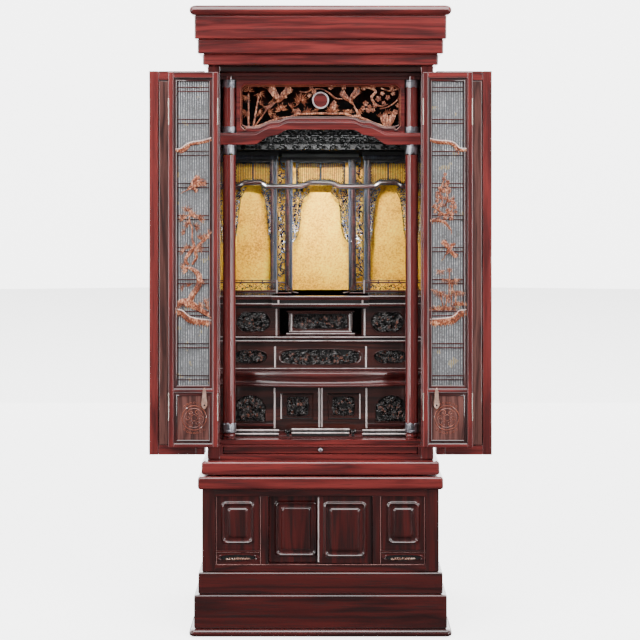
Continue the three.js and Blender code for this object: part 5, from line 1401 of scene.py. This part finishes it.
# Canopy: a board with rows of bracket blocks and arms, each row further out, and curls between
def makeCanopy():
    (x0, y0, z0), (x1, y1, z1) = boxOf("canopy")
    shell = Shell()
    # the back board is painted near-black as shade
    roundBox(shell, x0, x1, y0 + 60, y1, z0, z1, 1, 1)
    rows = [(z0 + 2, y0 + 52, 15), (z0 + 22, y0 + 36, 17), (z0 + 42, y0 + 20, 19), (z0 + 62, y0 + 4, 21)]
    for k, (z, y, count) in enumerate(rows):
        reach = x1 - 4
        roundBox(shell, -reach, reach, y + 4, y + 22, z + 14, z + 18, 1, 0)
        roundBox(shell, -reach, reach, y + 10, y + 26, z, z + 15, 0.6, 1)
        for place in np.linspace(-reach + 10, reach - 10, count):
            roundBox(shell, place - 5, place + 5, y, y + 12, z + 8, z + 14, 1.6, 2)
            roundBox(shell, place - 9, place + 9, y + 3, y + 9, z + 4, z + 8, 1.8, 2)
            roundBox(shell, place - 3, place + 3, y + 2, y + 10, z - 1, z + 5, 1.2, 2)
            scroll(shell, place + 9, z + 5, 5, k + place, 1, y + 2, 2.4, 2, 9)
            leaf(shell, place - 9, z + 4, 10, 5, 1.2 + place, y + 3, mark=2)
    finishPiece("canopy_bracketed", shell, [canopyWood, pitch, canopyWood], "cabinet",
                ["canopy"], 34)


makeScreen()
makeCanopy()
print("screen and canopy made")


# A flying bird: a thick body, feathered wings fanned about their angles, a neck and a tail
def bird(shell, x, z, size, heading, y, wings, mark=0):
    c, s = math.cos(heading), math.sin(heading)
    leaf(shell, x - c * size * 0.4, z - s * size * 0.4, size * 0.95, size * 0.42, heading, y - 0.8, rise=0.5,
         bend=0.05, mark=mark)
    for angle, length in wings:
        leaf(shell, x, z, length, length * 0.4, angle, y - 1, rise=0.16, bend=0.12, mark=mark)
        for k, turn in enumerate(np.linspace(-0.32, 0.32, 7)):
            reach = length * (1 - 0.25 * abs(turn))
            out = length * 0.18
            leaf(shell, x + math.cos(angle) * out, z + math.sin(angle) * out, reach * 0.9, length * 0.13,
                 angle + turn, y - 0.4 - 0.25 * (k % 2), rise=0.3, bend=0.1, mark=mark)
    head = (x + c * size * 0.95, z + s * size * 0.95)
    neck = [(x + c * size * 0.3, z + s * size * 0.3),
            (x + c * size * 0.62 - s * size * 0.06, z + s * size * 0.62 + c * size * 0.06), head]
    stem(shell, neck, [size * 0.16, size * 0.09, size * 0.1], y - 0.6, mark=mark)
    leaf(shell, head[0], head[1], size * 0.3, size * 0.07, heading, y - 0.6, mark=mark)
    for turn in (-0.22, -0.08, 0.08, 0.22):
        leaf(shell, x - c * size * 0.35, z - s * size * 0.35, size * 0.5, size * 0.12,
             heading + math.pi + turn,
             y - 0.5, mark=mark)


# Leaves or petals fanned from one point
def fan(shell, x, z, size, y, middle, spread, count, slim=0.22, mark=0):
    for k, turn in enumerate(np.linspace(-spread, spread, count)):
        length = size * (0.86 + 0.2 * math.cos(turn * 1.4)) * (0.82 if k % 2 else 1.08)
        c, s = math.cos(middle + turn), math.sin(middle + turn)
        leaf(shell, x + c * size * 0.12, z + s * size * 0.12, length, size * slim * 0.62, middle + turn,
             y - 0.9 * (k % 2), rise=0.55, bend=0.1, mark=mark)


# A cane: a straight stem with rings at its joints
def cane(shell, x0, z0, x1, z1, width, y, mark=0):
    stem(shell, [(x0, z0), ((x0 + x1) / 2, (z0 + z1) / 2), (x1, z1)], [width * 1.1, width, width * 0.8], y,
         mark=mark)
    joints = max(2, int(math.hypot(x1 - x0, z1 - z0) / (width * 4)))
    for t in np.linspace(0.12, 0.9, joints):
        x, z = x0 + (x1 - x0) * t, z0 + (z1 - z0) * t
        along = math.atan2(z1 - z0, x1 - x0)
        dx, dz = math.cos(along) * 0.5, math.sin(along) * 0.5
        stem(shell, [(x - dx, z - dz), (x + dx, z + dz)], [width * 1.5, width * 1.5], y - 0.2, stations=4,
             mark=mark)


# Blossoms at given places, their size and depth varied in turn
def blossoms(shell, places, size, y, mark=0):
    for k, (x, z) in enumerate(places):
        blossom(shell, x, z, size * (1 + 0.15 * (k % 3)), y - 0.6 * (k % 2), k * 1.1, mark=mark)


# The transom's carving, placed in the photo's columns and rows at its own depth
def makeTransomCarving():
    shell = Shell()
    y = -160
    def at(column, row):
        return (column * 0.34697 - 273.3, 1467.9 - row * 0.34697)
    for start, end, width in (((250, 505), (250, 250), 5), ((285, 500), (325, 265), 4.6),
                              ((300, 492), (385, 370), 3.6)):
        (x0, z0), (x1, z1) = at(*start), at(*end)
        cane(shell, x0, z0, x1, z1, width, y, 0)
    for column, row, size, middle, spread in ((250, 235, 17, 1.5, 1.5), (330, 245, 18, -1.2, 1.5),
                                              (240, 380, 17, -2.4, 1.1),
                                              (240, 270, 15, -2.2, 1.2), (350, 200, 15, 0.8, 1.2),
                                              (395, 395, 17, 0.2, 1.2),
                                              (320, 385, 15, -0.6, 1.2), (330, 330, 12, 0.4, 0.8)):
        x, z = at(column, row)
        fan(shell, x, z, size, y - 1, middle, spread, 7, 0.24)
    x, z = at(485, 298)
    bird(shell, x, z, 24, math.pi + 0.42, y - 1.6, [(2.18, 44), (0.85, 40)])
    for turn in (-0.12, 0.0, 0.12):
        leaf(shell, *at(450, 315), 34, 4.4, math.pi + 0.5 + turn, y - 1.6, mark=0)
    x, z = at(1010, 305)
    bird(shell, x, z, 24, -0.95, y - 1.6, [(2.35, 34), (0.9, 38)])
    for turn in (-0.1, 0.05):
        leaf(shell, *at(1035, 350), 34, 5, -1.0 + turn, y - 1.8, mark=0)
    x, z = at(640, 310)
    fan(shell, x, z, 22, y - 1.4, 1.5, 2.3, 17, 0.2)
    fan(shell, x, z + 2, 12, y - 2.4, 1.5, 2.0, 9, 0.3)
    x, z = at(495, 380)
    fan(shell, x, z, 19, y - 1.2, 1.7, 1.5, 11, 0.24)
    for column, row, size, middle, spread, count in ((880, 395, 22, 1.57, 1.2, 11),
                                                     (690, 395, 15, 1.5, 1.3, 9),
                                                     (600, 400, 14, 1.6, 1.2, 7), (440, 440, 14, 0.9, 1.2, 7),
                                                     (1010, 400, 12, 1.6, 1.2, 7)):
        x, z = at(column, row)
        fan(shell, x, z, size, y - 0.6, middle, spread, count, 0.2)
    stem(shell,
         [at(630, 235), at(680, 240), at(720, 225), at(790, 215), at(850, 245), at(900, 285), at(950, 290)],
         [2.4, 3.6, 3, 2.6, 4.4, 4.6, 2.6], y, stations=40)
    stem(shell,
         [at(1090, 215), at(1150, 205), at(1200, 235), at(1170, 275), at(1190, 320), at(1240, 345),
          at(1290, 330)],
         [3, 6, 7, 7, 6, 4, 2.4], y, stations=44)
    stem(shell, [at(1385, 255), at(1350, 310), at(1290, 350), at(1230, 365)], [2, 3, 3, 2], y - 1.4,
         stations=24)
    stem(shell, [at(1240, 210), at(1300, 230), at(1350, 220), at(1384, 205)], [3, 3.6, 3, 2], y, stations=24)
    spots = [(720, 215), (862, 205), (880, 190), (705, 265), (740, 240), (960, 200), (1110, 212),
             (1060, 215), (1180, 200),
             (1250, 250), (1290, 280), (1220, 290), (1330, 250), (1320, 205), (1125, 325), (1155, 350),
             (1195, 340),
             (1145, 375), (1180, 375), (1105, 360), (1345, 390), (1365, 340), (890, 320), (560, 225),
             (1260, 320)]
    blossoms(shell, [at(*spot) for spot in spots], 11.5, y - 2)
    for column, row in ((1320, 430), (890, 340), (615, 385)):
        blossoms(shell, [at(column, row)], 18, y - 2)
    for turn in (1.75, 1.95, 2.2, 1.3, 1.05):
        leaf(shell, *at(1300, 500), 40 - 6 * abs(turn - 1.8), 13, turn, y - 1, rise=0.22, mark=0)
    stem(shell, [at(1040, 415), at(1110, 440), at(1180, 470), at(1260, 498), at(1330, 502)], [5, 8, 8, 8, 5],
         y, stations=30)
    stem(shell,
         [at(560, 425), at(620, 405), at(700, 402), at(790, 398), at(880, 402), at(960, 400), at(1040, 425)],
         [5, 7, 6, 6, 6, 7, 5], y, stations=40)
    stem(shell, [at(220, 500), at(300, 500), at(380, 470), at(460, 440), at(560, 425)], [5, 6, 6, 6, 5], y,
         stations=30)
    for column, row in ((420, 300), (560, 350), (770, 380), (980, 370), (1070, 380), (1230, 430),
                        (1290, 400)):
        x, z = at(column, row)
        fan(shell, x, z, 13, y - 0.4, 1.2 + column * 0.01, 1.4, 7, 0.26)
    cx, cz, r = transom["moon"]
    turned(shell,
           [(r + 1.6, y + 4), (r + 2, y - 2.6), (r + 0.9, y - 4.6), (r - 1.1, y - 4.6), (r - 2, y - 2.8),
                   (r - 2.3, y - 2.2), (0.1, y - 2.4)], cx, cz, 1, 64, "y")
    turned(shell, [(r - 2.4, y - 2.2), (r - 3.4, y - 3.2), (0.1, y - 3.4)], cx, cz, 2, 48, "y")
    finishPiece("transom_carving_openwork", shell, [carved, moonRing, redX], "cabinet",
                ["transom_carving"], 40)
    bead = Shell()
    ring = transomOutline(-1.2)
    beadAlong(bead, ring, transom["front"] + 0.6, 2.6, 1.6)
    ring = transomOutline(2.2)
    beadAlong(bead, ring, transom["front"] + 3, 2.2, 1.4)
    finishPiece("transom_bead", bead, edgeWood, "cabinet", (), 40)


outer = {"x0": -440.25, "x1": -297, "z0": 451, "z1": 1436.9, "hung": (-205, -181), "folded": (-180, -156),
         "stile": 24,
         "rail": 24, "sink": 2.4, "plates": [(1308, 1366), (916, 980), (523, 584)]}


# An outer leaf: two stiles, two rails between them and a panel sunk on both faces
def makeOuterLeaf(name, body, span, mirrored, plates):
    s = outer
    shell = Shell(mirrored=mirrored)
    x0, x1, z0, z1 = s["x0"], s["x1"], s["z0"], s["z1"]
    y0, y1 = span
    for a, b in ((x0, x0 + s["stile"]), (x1 - s["stile"], x1)):
        roundBox(shell, a, b, y0, y1, z0, z1, 2.2, 0, 3)
    for a, b in ((z0, z0 + s["rail"]), (z1 - s["rail"], z1)):
        roundBox(shell, x0 + s["stile"] - 0.2, x1 - s["stile"] + 0.2, y0 + 0.3, y1 - 0.3, a, b, 2, 1)
    inset = s["stile"] + 1.2
    roundBox(shell, x0 + inset, x1 - inset, y0 + s["sink"], y1 - s["sink"], z0 + s["rail"] + 1,
             z1 - s["rail"] - 1, 2, 2)
    roundBox(shell, x0 + inset - 3, x1 - inset + 3, y0 + 6, y1 - 6, z0 + s["rail"] - 2, z1 - s["rail"] + 2,
             1, 3)
    if plates:
        for low, high in s["plates"]:
            roundBox(shell, x0 + 0.05, x0 + 2.6, y0 - 0.0, y0 + 8, low, high, 0.7, 4)
    finishPiece(name + "_framed", shell, [redZ, redX, panelZ, pitch, hingeMetal], body, [name],
                34)


inner = {"x0": -387.5, "x1": -260.5, "z0": 476, "z1": 1431.9, "y0": -247.6, "y1": -230.4, "stile": 13.5,
         "upper": (624, 1417.4), "lower": (485, 617), "pairTop": 1387.6, "pitch": 81.6, "pairs": 10,
         "gap": 10.4,
         "slat": 5.9, "slats": 13}
windowSection = [(-1, 5), (-0.6, 1.6), (0.6, 0.7), (2, 1.4), (2.6, 3.6), (6.6, 3.2), (8.2, 2.6), (9.6, 3.4),
                 (10.4, 5.4),
                 (10.4, 12), (-1, 12)]


# An inner leaf: stiles, rails, a stepped moulding round both fields, slats and pairs of bars; the slats' pale
# grey is partly a painted highlight
def makeInnerLeaf(node, body, shell):
    s = inner
    x0, x1, z0, z1, y0, y1 = s["x0"], s["x1"], s["z0"], s["z1"], s["y0"], s["y1"]
    for a, b in ((x0, x0 + s["stile"]), (x1 - s["stile"], x1)):
        roundBox(shell, a, b, y0, y1, z0, z1, 2.4, 0, 4)
    for a, b in ((z0, s["lower"][0]), (s["lower"][1], s["upper"][0]), (s["upper"][1], z1)):
        roundBox(shell, x0 + s["stile"] - 0.5, x1 - s["stile"] + 0.5, y0 + 0.3, y1 - 0.3, a, b, 2, 1, 3)
    a, b = x0 + s["stile"], x1 - s["stile"]
    for low, high in (s["lower"], s["upper"]):
        mitredFrame(shell, a, b, low, high, windowSection, y0, (7, 8))
    low, high = s["lower"]
    roundBox(shell, a, b, y0 + 5, y1 - 3, low, high, 1, 2)
    middle = (a + b) / 2
    angle = np.linspace(0, 2 * math.pi, 60, endpoint=False)
    circle = np.stack([np.cos(angle), np.sin(angle)], -1)
    centre = np.array([middle + 2.2, 560.8 - 10])
    for radius, width in ((31, 2.2), (24, 1.4), (8, 1.6)):
        beadAlong(shell, circle * radius + centre, y0 + 5, width, 0.9, 3)
    for turn in np.linspace(0, 2 * math.pi, 6, endpoint=False):
        cx, cz = centre + 16 * np.array([math.cos(turn), math.sin(turn)])
        scroll(shell, cx, cz, 6.5, turn, 1, y0 + 4.8, 1.6, 3)
    for sign in (-1, 1):
        for turn in np.linspace(-0.7, 0.7, 7):
            cx = centre[0] + 38 * math.sin(turn)
            cz = centre[1] + sign * 38 * math.cos(turn)
            if abs(cx - middle) < 36:
                scroll(shell, cx, cz, 3.6, turn, sign, y0 + 4.9, 1.3, 3, 9)
    low, high = s["upper"]
    for k in range(s["slats"]):
        x = middle + (k - (s["slats"] - 1) / 2) * s["slat"]
        roundBox(shell, x - 1.05, x + 1.05, y0 + 5.2, y0 + 7.2, low + 8, high - 8, 0.7, 4)
    for k in range(s["pairs"]):
        z = s["pairTop"] - k * s["pitch"]
        for part in (-0.5, 0.5):
            where = z + part * s["gap"]
            if low + 12 < where < high - 8:
                roundBox(shell, a + 8, b - 8, y0 + 3.8, y0 + 7, where - 1.5, where + 1.5, 0.8, 5)
    for low, high in ((1297, 1365), (544, 615)):
        for a, b in ((x0 + 0.02, x0 + 2.2), (x1 - 2.2, x1 - 0.02)):
            roundBox(shell, a, b, y0 - 0.1, y0 + 6, low, high, 0.7, 6)
    finishPiece(node + "_joined", shell,
                [redZ, redX, panelZ, edgeWood, paleSlatAndHighlightWood, deepX, hingeMetal, deepZ, deepX], body,
                [node], 34)


def makeGauzePanel(node, body, shell):
    s = inner
    roundBox(shell, s["x0"] + 20, s["x1"] - 20, s["y0"] + 10, s["y1"] - 6, s["upper"][0] + 6,
             s["upper"][1] - 6, 0.5, 0)
    finishPiece(node + "_stretched", shell, gauze, body, [node], 34)


# Ledge of ground: a swelling band under a line, a rounded lip on it in pale wood as a painted highlight, and
# a comb of short bars below
def ground(shell, line, width, y, mark=0):
    stem(shell, [(x, z - width * 0.5) for x, z in line], [width, width * 1.1, width], y + 1.5, 0.25, 40, mark)
    stem(shell, line, [2.2, 2.8, 2.2], y + 0.4, 0.9, 40, 1)
    smooth = smoothLine(line, 14)
    for x, z in smooth[1:-1]:
        roundBox(shell, x - 1.1, x + 1.1, y + 1, y + 3.4, z - width - 4.6, z - width + 2, 0.5, mark)


def doorCarving(shell, design):
    y = -243.2
    pine = design == "pine"
    shift = -446.4 if pine else 214.9
    sign = 1 if pine else -1
    def at(column, row):
        return (sign * (column * 0.34063 + shift), 1314.4 - row * 0.34063)
    rail = [(228, 245), (268, 238), (305, 210), (345, 192), (400, 184), (450, 174), (494, 160)]
    if not pine:
        rail = [(188, 165), (250, 178), (330, 184), (378, 203), (412, 236), (464, 240)]
    stem(shell, [at(*p) for p in rail], [9, 11, 10, 8.5, 9], y, 0.45, 40)
    # a pale line along the rail's top: a painted highlight
    stem(shell, [(x, z + 4.4) for x, z in [at(*p) for p in rail]], [2.2, 2.8, 2.2], y - 1.6, 0.8, 40, 1)
    fork = [(330, 205), (300, 240), (262, 262)] if pine else [(370, 212), (395, 245), (402, 272)]
    stem(shell, [at(*p) for p in fork], [7, 6, 3.4], y, 0.5)
    if pine:
        x, z = at(345, 515)
        bird(shell, x, z, 26, math.pi + 0.55, y - 0.6, [(0.95, 34), (0.35, 40), (-0.7, 20)])
        for column, row, size, middle, spread, count in (
                (320, 700, 14, 1.4, 1.4, 9), (300, 690, 12, 1.9, 0.5, 3), (290, 760, 16, 2.2, 1.3, 9),
                                                         (350, 740, 16, 1.2, 1.5, 11),
                (400, 760, 15, 0.6, 1.3, 9), (330, 800, 15, 2.6, 1.2, 9), (370, 820, 15, 0.4, 1.4, 9),
                (300, 860, 13, 2.6, 1.0, 7), (410, 910, 16, 0.9, 1.2, 9), (450, 900, 14, 0.9, 0.9, 7),
                (470, 860, 12, 0.8, 0.8, 5), (400, 970, 14, -0.6, 1.2, 7), (290, 1005, 13, 2.4, 1.2, 7),
                (320, 980, 14, 1.8, 1.2, 9), (300, 1110, 14, 2.7, 0.9, 7), (320, 1140, 15, 3.0, 0.7, 7),
                (290, 1270, 12, 2.8, 1.2, 7), (330, 1260, 12, 1.9, 1.0, 7), (420, 1230, 10, 0.4, 0.9, 5),
                (440, 1380, 15, 0.3, 1.2, 7), (400, 1410, 16, 0.4, 1.0, 7), (460, 1430, 12, 0.9, 1.0, 7)):
            x, z = at(column, row)
            fan(shell, x, z, size, y - 0.4, middle, spread, count, 0.24)
        stem(shell,
             [at(*p) for p in ((492, 850), (450, 905), (400, 950), (372, 1000), (385, 1040), (350, 1095))],
             [4.4, 6.5, 7, 8, 7, 6], y - 0.6, 0.6, 36)
        stem(shell,
             [at(*p) for p in ((345, 700), (330, 760), (352, 830), (350, 900), (365, 960), (330, 1010),
                               (300, 1060),
                                      (325, 1098))], [2.4, 4, 4.6, 5, 8, 10, 8, 7], y - 0.6, 0.6, 44)
        stem(shell,
             [at(*p) for p in ((295, 1115), (345, 1125), (392, 1160), (408, 1210), (392, 1265), (355, 1320),
                                      (330, 1370), (300, 1400))], [4, 9, 13, 15, 14, 14, 17, 20], y - 0.8,
             0.42, 50)
        for offset in (-10, 0, 10):
            stem(shell,
                 [at(*p) for p in ((345 + offset, 1128), (385 + offset, 1165), (400 + offset, 1212),
                                   (384 + offset, 1265),
                                          (348 + offset, 1320), (322 + offset, 1375))], [1.6, 2.4, 1.6],
                 y - 3.4, 0.8, 40)
        mound = [at(*p) for p in ((226, 1408), (262, 1380), (310, 1372), (360, 1400), (420, 1440),
                                  (494, 1480))]
        stem(shell, mound, [8, 16, 18, 14, 10], y + 0.2, 0.2, 40)
        stem(shell, [(x, z - 4) for x, z in mound], [2, 2.4, 2], y - 3, 0.8, 40)
        stem(shell, [(x, z - 10) for x, z in mound[:4]], [2, 2.2, 1.6], y - 2.6, 0.8, 30)
        ground(shell, [at(*p) for p in ((226, 1425), (280, 1440), (330, 1482), (400, 1500), (494, 1510))],
               15, y - 1)
        return
    stem(shell,
         [at(*p) for p in ((300, 410), (285, 480), (262, 560), (280, 620), (250, 680), (290, 720),
                           (330, 735))],
         [2.2, 3, 4.6, 4, 5, 6, 3], y - 0.4, 0.7, 44)
    stem(shell, [at(*p) for p in ((200, 660), (240, 680), (290, 720), (340, 700), (385, 640))],
         [3, 5, 6, 4, 2.2], y - 0.4, 0.7, 30)
    stem(shell, [at(*p) for p in ((330, 480), (310, 540), (320, 600), (300, 660))], [2, 3, 3.4, 4], y, 0.7,
         24)
    spots = [(300, 420), (292, 455), (320, 480), (300, 500), (262, 525), (290, 540), (325, 530), (245, 560),
             (270, 590),
             (300, 600), (330, 620), (360, 630), (240, 620), (225, 655), (265, 650), (345, 660), (375, 665),
             (320, 690),
             (225, 700), (260, 720), (350, 715), (380, 700), (300, 745), (345, 750)]
    blossoms(shell, [at(*p) for p in spots], 9.4, y - 1.2)
    for column, row, middle in ((270, 560, 2), (340, 560, 0.6), (230, 600, 2.6), (370, 610, 0.4),
                                (300, 640, -1), (240, 740, -2)):
        x, z = at(column, row)
        fan(shell, x, z, 11, y - 0.2, middle, 1.0, 5, 0.3)
    cloud = [at(*p) for p in ((190, 768), (240, 762), (290, 775), (320, 800), (348, 842))]
    stem(shell, cloud, [10, 9, 7, 3], y + 0.4, 0.4, 30)
    for x, z in smoothLine(cloud, 12)[1:]:
        roundBox(shell, x - 1, x + 1, y + 1.2, y + 3.6, z - 9, z, 0.5)
    x, z = at(335, 985)
    bird(shell, x, z, 27, math.pi - (math.pi + 0.95), y - 0.6,
         [(math.pi - 2.25, 30), (math.pi - 1.2, 18), (math.pi + 0.75, 26)])
    for column, row, size in ((265, 1135, 15), (335, 1125, 11), (350, 1205, 18), (300, 1200, 12),
                              (390, 1200, 12),
                              (265, 1295, 18), (220, 1280, 12), (380, 1290, 19), (320, 1320, 15),
                              (430, 1300, 11)):
        x, z = at(column, row)
        fan(shell, x, z, size, y - 1, -1.57, 1.5, 9, 0.2)
    for start, end in (((330, 1380), (333, 1120)), ((345, 1400), (358, 1210)), ((285, 1410), (262, 1290)),
                       ((300, 1420), (320, 1320)),
                       ((375, 1400), (385, 1290))):
        (xa, za), (xb, zb) = at(*start), at(*end)
        cane(shell, xa, za, xb, zb, 2.8, y)
    for column in range(205, 460, 22):
        x, z = at(column, 1440 if column < 380 else 1405)
        fan(shell, x, z, 12, y - 0.4, 1.5 + 0.3 * math.sin(column), 1.1, 7, 0.3)
    ground(shell,
           [at(*p) for p in ((188, 1503), (290, 1496), (350, 1486), (385, 1462), (405, 1440), (464, 1430))],
           17, y - 1)


pull = {"x": -295.4, "high": 628, "low": 574, "front": -250.2, "back": -247.8}


# Drop pull: a leaf plate with a ringed hole painted near-black as shade, an engraved rim and a round boss at
# its head
def makePull(name, body, mirrored):
    s = pull
    shell = Shell(mirrored=mirrored)
    x = s["x"]
    z = np.linspace(s["low"], s["high"], 30)
    t = (z - s["low"]) / (s["high"] - s["low"])
    half = np.interp(t, [0, 0.05, 0.16, 0.3, 0.5, 0.8, 0.93, 1], [0.6, 4.2, 7.2, 7.6, 5.6, 4.4, 3.6, 0.6])
    outline = np.concatenate([np.stack([x + half, z], -1), np.stack([x - half[::-1], z[::-1]], -1)])
    centre = outline.mean(0)
    shrink = lambda share: (outline - centre) * share + centre
    loops = [upright(outline, s["back"]), upright(outline, s["front"] + 0.8),
             upright(shrink(0.96), s["front"] + 0.1),
             upright(shrink(0.9), s["front"] + 0.1), upright(shrink(0.86), s["front"] + 0.4),
             upright(shrink(0.8), s["front"] + 0.4)]
    loft(shell, loops)
    angle = np.linspace(0, 2 * math.pi, 40, endpoint=False)
    circle = np.stack([np.cos(angle), np.sin(angle)], -1)
    beadAlong(shell, circle * 3.4 + [x, s["low"] + 10], s["front"] + 0.5, 1.0, 0.45)
    turned(shell, [(2.4, s["front"] + 0.6), (2.4, s["front"] + 0.2), (0.1, s["front"] + 0.2)], x,
           s["low"] + 10, 1, 20, "y")
    turned(shell, [(3, s["front"] + 0.5), (2.8, s["front"] + 0.1), (0.1, s["front"])], x, s["high"] - 6, 0,
           20, "y")
    stem(shell, [(x, s["low"] + 16), (x - 1.4, s["low"] + 26), (x, s["low"] + 36), (x, s["high"] - 9)],
         [0.9, 1.1, 0.8],
         s["front"] + 0.45, 0.4, 20)
    finishPiece(name + "_engraved", shell, [pullMetal, pitch], body, [name], 30)


def makeDoors():
    for side in ("left", "right"):
        mirrored = side == "right"
        makeOuterLeaf(f"outer_door_{side}_hung", f"outer_{side}_hung", outer["hung"], mirrored, True)
        makeOuterLeaf(f"outer_door_{side}_folded", f"outer_{side}_folded", outer["folded"], mirrored, False)
        designs = {"folded": "bamboo" if mirrored else "pine", "hung": "pine" if mirrored else "bamboo"}
        for leafName, turnedBy in (("folded", None), ("hung", (-648, -459))):
            body = f"inner_{side}_{leafName}"
            makeInnerLeaf(f"lattice_door_{side}_{leafName}", body, Shell(turnedBy, mirrored))
            makeGauzePanel(f"gauze_{side}_{leafName}", body, Shell(turnedBy, mirrored))
            shell = Shell(turnedBy, mirrored)
            doorCarving(shell, designs[leafName])
            finishPiece(f"carving_{side}_{leafName}_relief", shell, [carved, paintedEdgeHighlight], body,
                        [f"carving_{side}_{leafName}"], 40)
        makePull(f"drop_pull_{side}", f"inner_{side}_folded", mirrored)


makeTransomCarving()
makeDoors()
print("transom carving and doors made")


studio = {"floorSize": 30, "backdropY": 4.5, "worldStrength": 0.12, "floorGlow": 3.0}


# An area light aimed at a point, its size in metres
def softbox(name, place, aim, size, power):
    data = bpy.data.lights.new(name, "AREA")
    data.shape = "RECTANGLE"
    data.size, data.size_y = size
    data.energy = power
    lamp = bpy.data.objects.new(name, data)
    lamp.location = place
    away = np.array(aim, float) - np.array(place, float)
    yaw = math.atan2(-away[0], away[1])
    tilt = math.atan2(away[2], math.hypot(away[0], away[1]))
    lamp.rotation_euler = (math.pi / 2 + tilt, 0, yaw)
    bpy.context.scene.collection.objects.link(lamp)
    return data


# A pale glowing sheet behind the scene: either the camera sees it, or only the gloss and light do
def backdrop(name, points, seenByCamera):
    columns = len(points) // 2
    wall = Shell()
    if seenByCamera:
        wall.add(points, gridFaces(2, columns, False))
    else:
        wall.add(points, [[0, 1, 2, 3]])
    mesh = meshOf(name, np.concatenate(wall.points), wall.faces, wall.marks, 30)
    glow = Finish(name + "Paint", Roughness=0.9, Emission_Color=(1, 1, 1, 1), Emission_Strength=4.0)
    mesh.materials.append(glow.material)
    sheet = bpy.data.objects.new(name, mesh)
    sheet.visible_camera = seenByCamera
    sheet.visible_glossy = not seenByCamera
    sheet.visible_diffuse = not seenByCamera
    sheet.visible_shadow = not seenByCamera
    bpy.context.scene.collection.objects.link(sheet)


def makeStudio():
    world = bpy.data.worlds.new("studioWorld")
    bpy.context.scene.world = world
    world.use_nodes = True
    background = world.node_tree.nodes["Background"]
    background.inputs["Color"].default_value = (1, 1, 1, 1)
    background.inputs["Strength"].default_value = studio["worldStrength"]
    floor = Shell()
    half = studio["floorSize"] / 2 / millimetre
    back = studio["backdropY"] / millimetre
    floor.add([[-half, -half, 0], [half, -half, 0], [half, half, 0], [-half, half, 0]], [[0, 1, 2, 3]])
    mesh = meshOf("studioFloor", np.concatenate(floor.points) - [0, 0, 0.0005], floor.faces, floor.marks, 30)
    paint = Finish("floorPaint", Roughness=0.9)
    tint = paint.noise(paint.place(), 2, 2)
    paint.drive(Base_Color=paint.mix(tint, (0.88, 0.88, 0.88, 1), (0.92, 0.92, 0.92, 1)))
    paint.shader.inputs["Emission Color"].default_value = (1, 1, 1, 1)
    paint.shader.inputs["Emission Strength"].default_value = studio["floorGlow"]
    mesh.materials.append(paint.material)
    sheet = bpy.data.objects.new("studioFloor", mesh)
    sheet.visible_glossy = False
    sheet.visible_diffuse = False
    bpy.context.scene.collection.objects.link(sheet)
    backdrop("studioBackdrop",
             [[-half, back, -1], [half, back, -1], [half, back, half], [-half, back, half]], False)
    around = np.linspace(0, 2 * math.pi, 49)
    drum = [[half * math.cos(a), half * math.sin(a), z] for z in (-1, half) for a in around]
    backdrop("studioSurround", drum, True)
    softbox("stripLeft", (-2.2, -3.8, 1.2), (0, -0.2, 0.95), (0.3, 2.3), 62)
    softbox("stripRight", (2.2, -3.8, 1.2), (0, -0.2, 0.95), (0.3, 2.3), 62)
    softbox("overhead", (0, -1.7, 3.3), (0, -0.3, 1.1), (4.0, 2.2), 190)
    softbox("sideLeft", (-2.7, -1.1, 1.2), (0, -0.2, 0.9), (1.6, 2.6), 42)
    softbox("sideRight", (2.7, -1.1, 1.2), (0, -0.2, 0.9), (1.6, 2.6), 42)
    inside = softbox("altarLight", (0, -0.12, 1.33), (0, 0.235, 1.0), (0.3, 0.03), 1.9)
    inside.spread = math.radians(66)


makeStudio()
